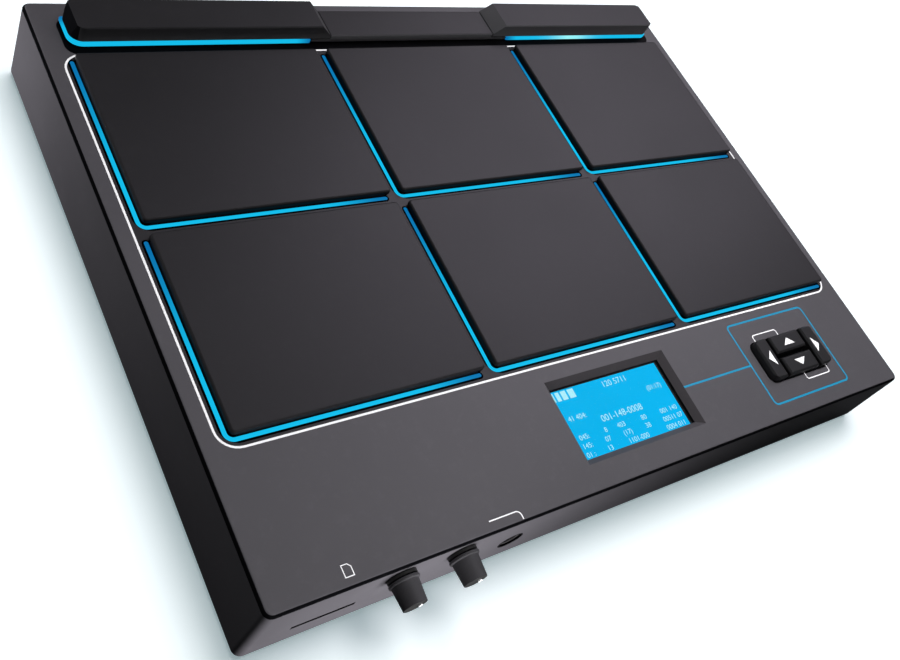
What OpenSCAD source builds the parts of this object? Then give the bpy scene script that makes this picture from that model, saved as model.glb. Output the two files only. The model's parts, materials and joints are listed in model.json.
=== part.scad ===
// Electronic percussion pad: six rubber trigger pads and two trigger strips in a flat case, with a screen,
// four navigation buttons and two volume knobs. Millimetres, +X right, +Y back, +Z up, z = 0 under the feet.

/* [Pads] */
// Width of one pad
pad_w = 115.5; // [100:0.5:125]
// Depth of one pad
pad_d = 89.6; // [80:0.1:100]
// Height of a pad above the top panel
pad_rise = 3.2; // [2:0.1:5]
// Thickness of the pad's rubber
pad_rubber = 6.4; // [5.5:0.1:9]
// Rounding of the pad's top edge
pad_edge_r = 1; // [0.5:0.1:1.5]
// Distance that a pad dips when it is struck
pad_dip = 0.8; // [0.4:0.1:1]
// Thickness of the steel plate bonded under a pad
plate_t = 1.2; // [0.8:0.1:2]
// Distance that the plate stays back from the edge of its pad
plate_inset = 1.5; // [1:0.1:4]
// Thickness of the foam blocks that carry a plate
foam_t = 2; // [1.6:0.1:3]
// Size of a square foam block
foam_w = 16; // [10:1:24]
// Diameter of the sensor disc under a pad
sensor_d = 27; // [20:1:35]
// Thickness of the sensor disc
sensor_t = 0.5; // [0.3:0.1:0.6]
// Panel left between a pad's well and the next light guide
pad_web = 2.2; // [1.6:0.1:4]
// Running gap round each moving piece
play = 0.35; // [0.3:0.05:0.5]

/* [Light guides] */
// Width of a light guide
guide_w = 2.4; // [1.8:0.1:3]
// Dark gap outside a pad's light guide
guide_gap = 0.5; // [0.3:0.1:1]
// Radius of the guide's bend, at its middle
guide_bend_r = 5.5; // [4.5:0.1:8]
// Distance that a pad's guide stops short of the pad's far edge
guide_end = 1.7; // [1.2:0.1:6]
// Depth of the guide's top below the panel
guide_sink = 0.2; // [0:0.1:0.6]
// Width of a light board
led_board_w = 5; // [4:0.5:6]
// Thickness of the circuit boards
board_t = 1.6; // [1:0.1:2]

/* [Case] */
// Margin from the pads' wells to the side faces of the case
side_margin = 9.2; // [8:0.1:20]
// Depth of the control strip in front of the pads
control_d = 62.3; // [60:0.1:80]
// Depth of the strip behind the pads, which carries the rear bar
rear_d = 32.9; // [31:0.1:42]
// Height of the case, without feet and bar
case_h = 39; // [37:0.5:50]
// Thickness of the walls and of the top panel
wall = 3; // [2.5:0.1:3.4]
// Radius of the upright corners
corner_r = 3.6; // [3:0.1:8]
// Rounding of the top edge
edge_r = 1.6; // [1:0.1:2.2]
// Thickness of the floor of a pad's well
well_floor = 2.4; // [2:0.1:3.5]
// Thickness of the bottom cover
cover_t = 2.5; // [2:0.1:3]
// Gap round the bottom cover
cover_gap = 0.2; // [0.1:0.05:0.4]
// Height of the feet
foot_h = 3; // [2:0.5:6]
// Diameter of the feet
foot_d = 18; // [12:1:24]
// Distance of the feet from the side faces
foot_inset = 30; // [25:1:60]

/* [Rear bar] */
// Distance from the rear bar's end to the side of the case
bar_inset = 12.7; // [10:0.1:30]
// Depth of the bar, front to back
bar_d = 17.7; // [16:0.1:20]
// Ledge between the bar and the back of the case
bar_ledge = 9.8; // [6:0.1:13]
// Height of the two trigger strips above the panel
bar_h = 11.4; // [10.5:0.1:14]
// Height of the middle piece above the panel
centre_h = 5.4; // [5:0.1:7]
// Width of the middle piece
centre_w = 103; // [80:0.5:130]
// Width of the middle piece's foot
centre_foot_w = 123.6; // [122:0.2:150]
// Run of the ramp for each millimetre that it climbs
ramp_run = 1.03; // [0.8:0.01:1.5]
// Bevel along the front of the bar
bar_bevel = 0.5; // [0.3:0.1:2]
// Distance that the outer end of a trigger strip leans inward
bar_lean = 1.8; // [0:0.1:3]
// Radius of the bar's outer corners
bar_corner_r = 5.5; // [5:0.1:7]
// Height of the dark plinth under the bar
bar_plinth_h = 1.2; // [0.8:0.1:1.5]
// Distance that the plinth stays back under the bar
bar_plinth_in = 0.8; // [0.4:0.1:1.5]
// Height of the light guide under a trigger strip
bar_guide_h = 1.6; // [1.4:0.1:2.6]
// Distance that this guide stands out of the bar
bar_guide_proud = 0.6; // [0.3:0.1:1]
// Distance that a trigger strip dips when it is struck
bar_dip = 0.4; // [0.3:0.1:0.6]
// Thickness of the walls of a trigger strip
bar_skirt = 2.6; // [2:0.1:3.5]
// Thickness of the roof of a trigger strip
bar_roof = 4; // [3:0.1:4.5]
// Thickness of the foam strip under a trigger strip
bar_foam_t = 1.6; // [1.2:0.1:2]
// Thickness of the sensor strip under the foam
bar_sensor_t = 0.4; // [0.3:0.1:0.6]

/* [Screen] */
// Width of the lit area
screen_w = 69; // [60:0.5:76]
// Depth of the lit area, front to back
screen_d = 34.6; // [28:0.1:38]
// Distance that the window's slopes run inward
screen_slope = 3; // [1:0.1:4]
// Middle of the screen, to the right of the middle of the case
screen_x = 1.8; // [-10:0.1:10]
// Middle of the screen, behind the front face
screen_y = 32.7; // [31:0.1:34]
// Thickness of the clear window
window_t = 1.5; // [1:0.1:2]
// Overlap of the window behind the panel
window_lap = 3; // [2:0.1:4]
// Thickness of the display
display_t = 7; // [5:0.5:9]

/* [Navigation buttons] */
// Middle of the button cluster, from the right side of the case
nav_x = 69.6; // [60:0.1:80]
// Middle of the button cluster, behind the front face
nav_y = 31.2; // [29:0.1:33]
// Width of the left and right buttons
nav_side_w = 9.4; // [8:0.1:11]
// Width of the up and down buttons
nav_mid_w = 24; // [20:0.1:26]
// Depth of the button cluster, front to back
nav_d = 22.6; // [20:0.1:25]
// Gap between neighbouring buttons
nav_gap = 2.4; // [2.2:0.1:3.5]
// Height of the buttons above the panel
nav_rise = 4.2; // [3:0.1:5]
// Depth of the shallow recess around the buttons
nav_recess = 1.5; // [1:0.1:1.8]
// Radius of the cluster's outer corners
nav_corner_r = 4; // [2:0.1:4.5]
// Bevel round the top of a button
nav_bevel = 0.9; // [0.4:0.1:1.2]
// Travel of a button
nav_travel = 1; // [0.6:0.1:1.4]
// Thickness of the flange that keeps a button in
nav_flange_t = 1.2; // [0.8:0.1:1.5]
// Distance that this flange reaches past the button's sides
nav_flange_lip = 0.8; // [0.7:0.05:0.9]
// Height of the silicone domes under the buttons
dome_h = 3; // [2.4:0.1:4]
// Length of the stem from a button's flange to its dome
nav_stem_h = 3.4; // [2:0.1:5]

/* [Front sockets and knobs] */
// Depth of the headphone socket's axis below the panel
control_z = 22.8; // [20:0.1:24]
// Depth of the knobs' axes below the panel
knob_z = 9; // [8.5:0.1:11]
// Main volume knob, from the left side of the case
main_x = 57; // [52:0.1:62]
// Headphone volume knob, from the left side of the case
phones_x = 84.6; // [80:0.1:90]
// Headphone socket, from the left side of the case
jack_x = 116.9; // [114:0.1:124]
// Middle of the card slot, from the left side of the case
card_x = 30.7; // [28:0.1:34]
// Depth of the card slot below the panel
card_z = 25.1; // [24:0.1:26]
// Width of the card slot
card_w = 26.5; // [25:0.1:27]
// Height of the card slot
card_h = 2.5; // [2.3:0.1:3]
// Distance from the front wall to the tip of a knob
knob_reach = 12.5; // [10:0.1:16]
// Diameter of a knob's flange
knob_flange_d = 12.5; // [11:0.1:16]
// Diameter of a knob behind its flange
knob_base_d = 11; // [10:0.1:12]
// Diameter of a knob at its tip
knob_tip_d = 9.8; // [8.5:0.1:11]
// Length of a knob's flange
knob_flange_t = 1.3; // [1:0.1:2]
// Diameter of the potentiometer shafts
shaft_d = 6; // [5:0.1:6.2]
// Outer diameter of the potentiometer bushings
bushing_d = 7; // [6.8:0.1:8]
// Radial running gap of a shaft
shaft_gap = 0.05; // [0.02:0.01:0.08]
// Diameter of the collar nuts behind the knobs
nut_d = 12.1; // [10:0.1:13]
// Length of the collar nuts
nut_t = 1.6; // [1.4:0.1:3]
// Diameter of the hole in the front wall for the headphone socket
jack_hole_d = 10.4; // [9.6:0.1:12]
// Diameter of the bore of the quarter inch sockets
jack_bore_d = 6.5; // [6.4:0.05:6.6]

/* [Rear sockets] */
// Depth of the rear sockets' axes below the panel
rear_z = 21; // [19:0.1:22]
// Distance that the power button stands out of the back
rear_reach = 2; // [1.5:0.1:4]
// Travel of the power button
power_travel = 1.2; // [0.8:0.1:1.4]
// Diameter of the power button
power_d = 8; // [6:0.1:10]
// Outer diameter of the quarter inch sockets' bushings
rear_bushing_d = 9; // [8:0.1:10]
// Diameter of the small stereo socket's bore
aux_bore_d = 3.6; // [3.5:0.05:3.7]
// Width of the data port's opening
usb_w = 8.5; // [8:0.1:9]
// Height of the data port's opening
usb_h = 7.8; // [7.4:0.1:8.4]
// Diameter of the round five-pin sockets
midi_d = 15; // [13:0.1:16]

/* [Fasteners and stand mount] */
// Stand mount holes, left to right
mount_dx = 72; // [50:1:100]
// Stand mount holes, front to back
mount_dy = 36; // [30:1:60]
// Core diameter of the threaded inserts
mount_core_d = 4.2; // [4:0.1:5]
// Outer diameter of the threaded inserts
mount_insert_d = 7; // [6.5:0.1:8]
// Length of the threaded inserts
mount_insert_l = 9; // [7:0.5:11]
// Shank diameter of the case screws
screw_d = 2.9; // [2.5:0.1:3.2]
// Head diameter of the case screws
screw_head_d = 5.8; // [5:0.1:6.4]
// Height of the screw heads
screw_head_h = 1.6; // [1:0.1:1.8]
// Length of the shank of the case screws
screw_l = 10; // [8:0.5:12]
// Diameter of the screw bosses
boss_d = 8; // [7:0.5:10]
// Gap round a screw, an insert or a foot in its hole
fit_gap = 0.1; // [0.05:0.01:0.2]

/* [Hidden] */
$fn = 64;
COLS = 3;
PADS = 6;
NAMED_PADS = [for (i = [1:PADS]) i];
NAV_NAMES = ["nav_left", "nav_up", "nav_down", "nav_right"];

// Overrun of a cutting shape past the face that it opens
over = 1;

// Posts that carry the circuit boards, and the board left outside them
post_d = 5;
post_rim = 6;
post_near = 12;
board_rim = 2;

// Radius of the hollow's upright corners
inner_r = max(corner_r - wall, 1);

// Levels above the floor
panel_z = foot_h + case_h;
well_depth = pad_rubber - pad_rise + plate_t + foam_t;
well_z = panel_z - well_depth;
slab_z = well_z - well_floor;
ceiling_z = panel_z - wall;
cover_z = foot_h + cover_t;

// Pad grid, seen from above
pad_in = guide_gap + guide_w + play;
cell_w = pad_in + pad_w + play + pad_web;
cell_d = pad_in + pad_d + play + pad_web;
grid_w = COLS * cell_w - pad_web;
grid_d = PADS / COLS * cell_d - pad_web;
case_w = grid_w + 2 * side_margin;
case_d = control_d + grid_d + rear_d;
front_y = -case_d / 2;
back_y = case_d / 2;
left_x = -case_w / 2;
right_x = case_w / 2;
grid_x = -grid_w / 2;
grid_y = front_y + control_d;
pad_corner_r = guide_bend_r - guide_w / 2 - play;
guide_len_x = guide_w + play + pad_w - guide_end;
guide_len_y = guide_w + play + pad_d - guide_end;
function cell_x(i) = grid_x + (i % COLS) * cell_w;
function cell_y(i) = grid_y + (i < COLS ? cell_d : 0);
function pad_mid(i) = [cell_x(i) + pad_in + pad_w / 2, cell_y(i) + pad_in + pad_d / 2];

// The box round the whole object is centred on y = 0, with the knobs in front and the power button behind
frame_y = (knob_reach - rear_reach) / 2;

// Rear bar
bar_out = case_w / 2 - bar_inset;
bar_back = back_y - bar_ledge;
bar_front = bar_back - bar_d;
bar_top_z = panel_z + bar_h;
bar_base_z = panel_z + bar_plinth_h;
bar_step_z = bar_base_z + bar_guide_h;
bar_low_z = bar_step_z + bar_dip + play;
bar_ramp_x = centre_w / 2 + play + (bar_h - centre_h) * ramp_run;
bar_roof_z = bar_top_z - bar_roof;
bar_sensor_z = bar_roof_z - bar_foam_t - bar_sensor_t;
bar_cave_in = bar_ramp_x + bar_skirt;
bar_cave_out = bar_out - bar_skirt;
bar_guide_in = centre_foot_w / 2 + play;
bar_core_in = max(bar_cave_in, centre_foot_w / 2) + play;
bar_core_w = bar_cave_out - play - bar_core_in;
bar_core_d = bar_d - 2 * bar_skirt - 2 * play;

// Screen, buttons and front controls
screen_mid = [screen_x, front_y + screen_y];
nav_mid = [right_x - nav_x, front_y + nav_y];
nav_mid_d = (nav_d - nav_gap) / 2;
nav_side_x = (nav_mid_w + nav_side_w) / 2 + nav_gap;
nav_w = nav_mid_w + 2 * (nav_side_w + nav_gap);
nav_flange_z = ceiling_z - play - nav_flange_t;
dome_top_z = nav_flange_z - nav_stem_h - fit_gap;
nav_board_z = dome_top_z - dome_h - board_t;
nav_board_size = [nav_mid_w + 2 * (nav_side_w + nav_gap + post_d + board_rim), nav_d + board_rim];
NAV_SIZES = [[nav_side_w, nav_d], [nav_mid_w, nav_mid_d], [nav_mid_w, nav_mid_d], [nav_side_w, nav_d]];
nav_half_y = (nav_mid_d + nav_gap) / 2;
NAV_SPOTS = [[-nav_side_x, 0], [0, nav_half_y], [0, -nav_half_y], [nav_side_x, 0]];
axis_z = panel_z - control_z;
knob_axis_z = panel_z - knob_z;
main_mid = left_x + main_x;
phones_mid = left_x + phones_x;
jack_mid = left_x + jack_x;
card_mid = left_x + card_x;
pot_size = [11, 7, 2 * (knob_z - wall - play)];
front_board_d = 38;
jack_size = [12, 22, 13];
front_board_z = axis_z - jack_size[2] / 2;
card_depth = 30;
shaft_in = front_y + wall + pot_size[1] - over;
knob_back = nut_t + play;
knob_face_t = 1.6;
shaft_tip = knob_reach - knob_face_t;

// Rear sockets, from left to right as seen from the front, each placed by a share of the case's width
rear_axis_z = panel_z - rear_z;
rear_board_drop = 8;
rear_board_z = rear_axis_z - rear_board_drop;
rear_board_d = 42;
REAR_JACK_X = [-0.295, -0.221, -0.116, -0.042] * case_w;
rear_jack_size = [14, 26, 15];
rear_nut_d = rear_bushing_d + 4.6;
AUX_X = 0.037 * case_w;
aux_size = [8, 14, 13];
aux_nose_d = 6;
MIDI_X = [0.116, 0.184] * case_w;
midi_size = [20, 16, 20];
midi_ring = 0.8;
midi_groove = [0.6, 5];
midi_pin = [1.8, 5, 7];
USB_X = 0.274 * case_w;
usb_size = [12, 17, 13.5];
usb_shell = 0.8;
usb_depth = 12;
usb_tongue = [5.5, 10, 3.2];
DC_X = 0.337 * case_w;
dc_size = [9, 14, 12.5];
dc_nose_d = 8;
dc_ring = 1;
dc_depth = 10;
dc_pin = [2, 2];
POWER_X = 0.395 * case_w;
power_size = [12, 14, 13];
power_stem_d = power_d - 2;

// Where the case, the boards and the feet are fastened
boss_side = wall + boss_d / 2 + 3;
boss_end = 12;
boss_mid = 20;
CASE_BOSSES = [
    [left_x + boss_side, front_y + boss_end],
    [right_x - boss_side, front_y + boss_end],
    [left_x + boss_side, back_y - boss_end],
    [right_x - boss_side, back_y - boss_end],
    [left_x + boss_mid, pad_mid(3)[1]],
    [right_x - boss_mid, pad_mid(5)[1]],
    [pad_mid(1)[0], pad_mid(1)[1] - boss_mid],
    [pad_mid(4)[0], pad_mid(4)[1]]
];
front_post_x = [card_mid + card_w / 2 + post_rim, jack_mid + jack_size[0] / 2 + post_rim + board_rim];
front_post_far = wall + over + front_board_d - post_rim;
FRONT_POSTS = [for (x = front_post_x, s = [post_near, front_post_far]) [x, front_y + s]];
rear_post_x = [REAR_JACK_X[0] - post_near, POWER_X + post_near];
rear_post_far = wall + over + rear_board_d - post_rim;
REAR_POSTS = [for (x = rear_post_x, s = [post_near, rear_post_far]) [x, back_y - s]];
nav_post = [(nav_board_size[0] - post_d) / 2, nav_d / 3];
NAV_POSTS = [for (sx = [-1, 1], sy = [-1, 1]) nav_mid + [sx * nav_post[0], sy * nav_post[1]]];
FEET = [for (sx = [-1, 1], sy = [-1, 1]) [sx * (case_w / 2 - foot_inset), sy * (case_d / 2 - foot_inset)]];
MOUNTS = [for (sx = [-1, 1], sy = [-1, 1]) [sx * mount_dx / 2, sy * mount_dy / 2]];
board_screw_d = 2;
board_screw_l = 4;
board_screw_head = [3.8, 1.2];
foot_seat = 0.8;
foot_taper = 2;
mount_wall = 3;
mount_roof = 2;
foam_edge = 2;
dome_flare = 3;

// Flat shape with rounded corners, about its middle
module round_rect(w, d, r) {
    square([w - 2 * r, d], center = true);
    square([w, d - 2 * r], center = true);
    for (sx = [-1, 1], sy = [-1, 1])
        translate([sx * (w / 2 - r), sy * (d / 2 - r)]) circle(r);
}

// Quarter of a disc, in the first quadrant
module quarter_disc(r) {
    intersection() {
        circle(r);
        square(r);
    }
}

// Rounded edge of radius e that turns through a corner of radius r
module edge_corner(r, e) {
    rotate_extrude(angle = 90) translate([r - e, 0]) quarter_disc(e);
}

// Block with upright corners of radius r and a top edge rounded by e
module round_block(w, d, h, r, e) {
    linear_extrude(h - e) round_rect(w, d, r);
    translate([0, 0, h - e]) {
        linear_extrude(e) round_rect(w - 2 * e, d - 2 * e, r - e);
        for (turn = [0, 180]) rotate(turn) {
            translate([w / 2 - e, d / 2 - r, 0])
                rotate([90, 0, 0]) linear_extrude(d - 2 * r) quarter_disc(e);
            translate([r - w / 2, d / 2 - e, 0])
                rotate([90, 0, 90]) linear_extrude(w - 2 * r) quarter_disc(e);
            translate([w / 2 - r, d / 2 - r, 0]) edge_corner(r, e);
            translate([r - w / 2, d / 2 - r, 0]) rotate(90) edge_corner(r, e);
        }
    }
}

// L-shaped band whose outer faces lie on the axes, with a bend of radius r at its middle and round ends
module ell(len_x, len_y, w, r) {
    outer_r = r + w / 2;
    translate([outer_r, 0]) square([len_x - outer_r - w / 2, w]);
    translate([len_x - w / 2, w / 2]) circle(d = w);
    translate([0, outer_r]) square([w, len_y - outer_r - w / 2]);
    translate([w / 2, len_y - w / 2]) circle(d = w);
    intersection() {
        square(outer_r);
        difference() {
            translate([outer_r, outer_r]) circle(outer_r);
            translate([outer_r, outer_r]) circle(outer_r - w);
        }
    }
}

// Cylinder along -Y from the front wall's face: starts s0 in front of it and ends s1 in front of it
module front_rod(x, z, d, s0, s1) {
    translate([x, front_y - s0, z]) rotate([90, 0, 0]) cylinder(d = d, h = s1 - s0);
}

// Cylinder along +Y from the back wall's face
module rear_rod(x, d, s0, s1) {
    translate([x, back_y + s0, rear_axis_z]) rotate([-90, 0, 0]) cylinder(d = d, h = s1 - s0);
}

// Block behind the front wall that stands on the front board
module front_block(x, size) {
    translate([x - size[0] / 2, front_y + wall, front_board_z]) cube(size);
}

// Block in front of the back wall that stands on the rear board
module rear_block(x, size) {
    translate([x - size[0] / 2, back_y - wall - size[1], rear_board_z]) cube(size);
}

// Puts a piece at a point of the plan and a level
module at(p, z) {
    translate([p[0], p[1], z]) children();
}

// Puts a piece into the frame of the whole object
module placed() {
    translate([0, frame_y, 0]) children();
}

// Plan of a pad's well with the groove for its light guide
module well_plan(i) {
    translate(pad_mid(i)) round_rect(pad_w + 2 * play, pad_d + 2 * play, pad_corner_r + play);
    translate([cell_x(i), cell_y(i)])
        ell(guide_len_x + 2 * guide_gap, guide_len_y + 2 * guide_gap, guide_w + 2 * guide_gap, guide_bend_r);
}

// Slots in the floor of a well that let the light into its guide
module light_slots(i) {
    slot = guide_w / 2;
    inset = guide_gap + guide_w / 2 - slot / 2;
    far = 2 * guide_bend_r;
    translate([cell_x(i) + inset, cell_y(i) + far, slab_z - over])
        cube([slot, guide_len_y - 2 * far, well_floor + 2 * over]);
    translate([cell_x(i) + far, cell_y(i) + inset, slab_z - over])
        cube([guide_len_x - 2 * far, slot, well_floor + 2 * over]);
}

// Plan of the right half of the rear bar, from x = x0 to its rounded outer end, drawn in on three sides
module bar_plan(x0, inset = 0) {
    round_x = bar_out - bar_corner_r;
    r = bar_corner_r - inset;
    translate([x0, bar_front + inset]) square([round_x - x0, bar_d - 2 * inset]);
    translate([round_x - over, bar_front + bar_corner_r]) square([r + over, bar_d - 2 * bar_corner_r]);
    for (y = [bar_front + bar_corner_r, bar_back - bar_corner_r]) translate([round_x, y]) circle(r);
}

// Plan of the right-hand light guide of the bar, widened by grow on each side
module bar_guide_plan(grow) {
    bend_r = bar_corner_r + bar_guide_proud - guide_w / 2;
    length_x = bar_out + bar_guide_proud - bar_guide_in;
    length_y = bar_d + bar_guide_proud - guide_end;
    translate([bar_out + bar_guide_proud + grow, bar_front - bar_guide_proud - grow])
        mirror([1, 0]) ell(length_x + 2 * grow, length_y + 2 * grow, guide_w + 2 * grow, bend_r);
}

// Plinth and step on the panel that carry the right-hand trigger strip, its sensor and its light guide
module bar_seat() {
    translate([0, 0, panel_z - over]) linear_extrude(bar_plinth_h + over) bar_plan(-over, bar_plinth_in);
    translate([0, 0, bar_base_z]) linear_extrude(bar_guide_h) difference() {
        bar_plan(centre_foot_w / 2 + fit_gap);
        bar_guide_plan(fit_gap);
    }
    translate([bar_core_in, bar_front + bar_skirt + play, panel_z])
        cube([bar_core_w, bar_core_d, bar_sensor_z - panel_z]);
}

// Sloped opening of the screen, cut through the panel
module screen_opening() {
    low = ceiling_z - over;
    high = panel_z + over;
    grow = screen_slope / wall * over;
    half_low = [screen_w, screen_d] / 2 - [grow, grow];
    half_high = half_low + [1, 1] * screen_slope * (high - low) / wall;
    translate(screen_mid) intersection() {
        translate([0, half_high[1], 0]) rotate([90, 0, 0]) linear_extrude(2 * half_high[1])
            polygon([[-half_low[0], low], [half_low[0], low], [half_high[0], high], [-half_high[0], high]]);
        translate([-half_high[0], 0, 0]) rotate([90, 0, 90]) linear_extrude(2 * half_high[0])
            polygon([[-half_low[1], low], [half_low[1], low], [half_high[1], high], [-half_high[1], high]]);
    }
}

// Plan of button k: the outer corners of the left and right buttons are rounded
module nav_plan(k, grow) {
    size = NAV_SIZES[k] + [2 * grow, 2 * grow];
    r = nav_corner_r + grow;
    translate(nav_mid + NAV_SPOTS[k])
        if (k == 1 || k == 2) square(size, center = true);
        else mirror([k == 3 ? 1 : 0, 0]) {
            translate([r - size[0] / 2, -size[1] / 2]) square([size[0] - r, size[1]]);
            translate([-size[0] / 2, r - size[1] / 2]) square([r + over, size[1] - 2 * r]);
            for (sy = [-1, 1]) translate([r - size[0] / 2, sy * (size[1] / 2 - r)]) circle(r);
        }
}

// Deep upper shell: panel and four walls, wells for the pads, seats for the bar, openings and screw bosses
module top_case() {
    color([0.33, 0.32, 0.34]) placed() difference() {
        union() {
            case_shell();
            for (side = [0, 1]) mirror([side, 0, 0]) bar_seat();
            case_posts();
        }
        for (i = [0:PADS - 1]) {
            translate([0, 0, well_z]) linear_extrude(well_depth + over) well_plan(i);
            light_slots(i);
        }
        screen_opening();
        translate([0, 0, ceiling_z - over]) linear_extrude(wall + 2 * over)
            for (k = [0:3]) nav_plan(k, play);
        at(nav_mid, panel_z - nav_recess) linear_extrude(nav_recess + over)
            round_rect(nav_w + 4 * play, nav_d + 4 * play, nav_corner_r + 2 * play);
        front_openings();
        rear_openings();
        for (p = CASE_BOSSES) at(p, cover_z - over) cylinder(d = screw_d + fit_gap, h = screw_l + over);
        for (p = NAV_POSTS)
            at(p, nav_board_z) cylinder(d = board_screw_d + fit_gap, h = board_t + board_screw_l);
    }
}

// Outer skin of the case with its hollow, and the slab that holds the wells
module case_shell() {
    difference() {
        translate([0, 0, foot_h]) round_block(case_w, case_d, case_h, corner_r, edge_r);
        translate([0, 0, foot_h - over]) linear_extrude(case_h - wall + over)
            round_rect(case_w - 2 * wall, case_d - 2 * wall, inner_r);
    }
    slab_rim = wall / 2;
    translate([grid_x - slab_rim, grid_y - slab_rim, slab_z])
        cube([grid_w + 2 * slab_rim, grid_d + 2 * slab_rim, panel_z - slab_z - edge_r]);
}

// Bosses for the case screws and posts for the button board
module case_posts() {
    for (p = CASE_BOSSES) at(p, cover_z) cylinder(d = boss_d, h = ceiling_z - cover_z + over);
    low = nav_board_z + board_t;
    for (p = NAV_POSTS) at(p, low) cylinder(d = post_d, h = ceiling_z - low + over);
}

// Holes in the front wall: two bushings, the headphone socket and the card slot
module front_openings() {
    for (x = [main_mid, phones_mid])
        front_rod(x, knob_axis_z, bushing_d + 2 * fit_gap, -wall - over, over);
    front_rod(jack_mid, axis_z, jack_hole_d, -wall - over, over);
    translate([card_mid - card_w / 2, front_y - over, panel_z - card_z - card_h / 2])
        cube([card_w, wall + 2 * over, card_h]);
}

// Holes in the back wall for the sockets and the power button
module rear_openings() {
    for (x = REAR_JACK_X) rear_rod(x, rear_bushing_d + 2 * fit_gap, -wall - over, over);
    rear_rod(AUX_X, aux_nose_d + 2 * fit_gap, -wall - over, over);
    for (x = MIDI_X) rear_rod(x, midi_d + 2 * fit_gap, -wall - over, over);
    usb_rim = usb_shell + 2 * fit_gap;
    translate([USB_X - usb_w / 2 - usb_rim, back_y - wall - over, rear_axis_z - usb_h / 2 - usb_rim])
        cube([usb_w + 2 * usb_rim, wall + 2 * over, usb_h + 2 * usb_rim]);
    rear_rod(DC_X, dc_nose_d + 2 * fit_gap, -wall - over, over);
    rear_rod(POWER_X, power_d + 2 * play, -wall - over, over);
}

// Bottom plate inside the walls, with posts for the boards and bosses for the stand inserts
module bottom_cover() {
    plate = [case_w, case_d] - [1, 1] * 2 * (wall + cover_gap);
    color([0.12, 0.12, 0.13]) placed() difference() {
        union() {
            translate([0, 0, foot_h]) linear_extrude(cover_t)
                round_rect(plate[0], plate[1], inner_r);
            for (p = FRONT_POSTS) at(p, foot_h)
                cylinder(d = post_d, h = front_board_z - board_t - foot_h);
            for (p = REAR_POSTS) at(p, foot_h)
                cylinder(d = post_d, h = rear_board_z - board_t - foot_h);
            for (p = MOUNTS) at(p, foot_h)
                cylinder(d = mount_insert_d + 2 * mount_wall, h = mount_insert_l + mount_roof);
        }
        for (p = CASE_BOSSES) at(p, foot_h - over) {
            cylinder(d = screw_d + 2 * fit_gap, h = cover_t + 2 * over);
            cylinder(d = screw_head_d + 2 * fit_gap, h = screw_head_h + over);
        }
        for (p = FEET) at(p, foot_h - over) cylinder(d = foot_d + 2 * fit_gap, h = foot_seat + over);
        for (p = MOUNTS) at(p, foot_h - over)
            cylinder(d = mount_insert_d + 2 * fit_gap, h = mount_insert_l + over);
        for (p = FRONT_POSTS) at(p, front_board_z - board_screw_l)
            cylinder(d = board_screw_d + fit_gap, h = board_screw_l);
        for (p = REAR_POSTS) at(p, rear_board_z - board_screw_l)
            cylinder(d = board_screw_d + fit_gap, h = board_screw_l);
    }
}

// Middle of the rear bar: a low cap with bevelled edges and a foot under the ramps
module bar_centre() {
    top = panel_z + centre_h;
    color([0.24, 0.24, 0.25]) placed() {
        translate([-centre_w / 2, 0, 0]) rotate([90, 0, 90]) linear_extrude(centre_w) polygon([
            [bar_front, bar_base_z],
            [bar_front, top - bar_bevel],
            [bar_front + bar_bevel, top],
            [bar_back - bar_bevel, top],
            [bar_back, top - bar_bevel],
            [bar_back, bar_base_z]
        ]);
        translate([-centre_foot_w / 2, bar_front, bar_base_z]) cube([centre_foot_w, bar_d, bar_guide_h]);
    }
}

// Hollow trigger strip on the right of the bar: a ramp down to the middle piece and a rounded outer end
module trigger_bar() {
    ramp_foot = centre_w / 2 + play;
    color([0.21, 0.21, 0.22]) difference() {
        intersection() {
            translate([0, bar_back, 0]) rotate([90, 0, 0]) linear_extrude(bar_d) polygon([
                [ramp_foot, bar_low_z],
                [ramp_foot, panel_z + centre_h],
                [bar_ramp_x, bar_top_z],
                [bar_out - bar_lean, bar_top_z],
                [bar_out, bar_low_z]
            ]);
            translate([0, 0, panel_z]) linear_extrude(bar_h + over) bar_plan(0);
        }
        rotate([90, 0, 90]) linear_extrude(bar_out + over) polygon([
            [bar_front - over, bar_top_z - bar_bevel - over],
            [bar_front - over, bar_top_z + over],
            [bar_front + bar_bevel + over, bar_top_z + over]
        ]);
        translate([bar_cave_in, bar_front + bar_skirt, bar_low_z - over])
            cube([bar_cave_out - bar_cave_in, bar_d - 2 * bar_skirt, bar_roof_z - bar_low_z + over]);
    }
}

module trigger_bar_right() {
    placed() trigger_bar();
}

module trigger_bar_left() {
    placed() mirror([1, 0, 0]) trigger_bar();
}

// Light guide under the front and the outer end of a trigger strip
module bar_guide() {
    color([0.1, 0.7, 0.95]) translate([0, 0, bar_base_z]) linear_extrude(bar_guide_h) bar_guide_plan(0);
}

module bar_guide_right() {
    placed() bar_guide();
}

module bar_guide_left() {
    placed() mirror([1, 0, 0]) bar_guide();
}

// Strip of the trigger bars' core, between two levels, on both sides
module bar_layer(z, t) {
    for (side = [0, 1]) mirror([side, 0, 0])
        translate([bar_core_in, bar_front + bar_skirt + play, z]) cube([bar_core_w, bar_core_d, t]);
}

module bar_sensors() {
    color([0.75, 0.55, 0.25]) placed() bar_layer(bar_sensor_z, bar_sensor_t);
}

module bar_foams() {
    color([0.15, 0.15, 0.16]) placed() bar_layer(bar_sensor_z + bar_sensor_t, bar_foam_t);
}

// Moulded rubber pad i with rounded edges
module pad(i) {
    bottom = panel_z + pad_rise - pad_rubber;
    color([0.23, 0.23, 0.24]) placed() at(pad_mid(i), bottom)
        round_block(pad_w, pad_d, pad_rubber, pad_corner_r, pad_edge_r);
}

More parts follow.
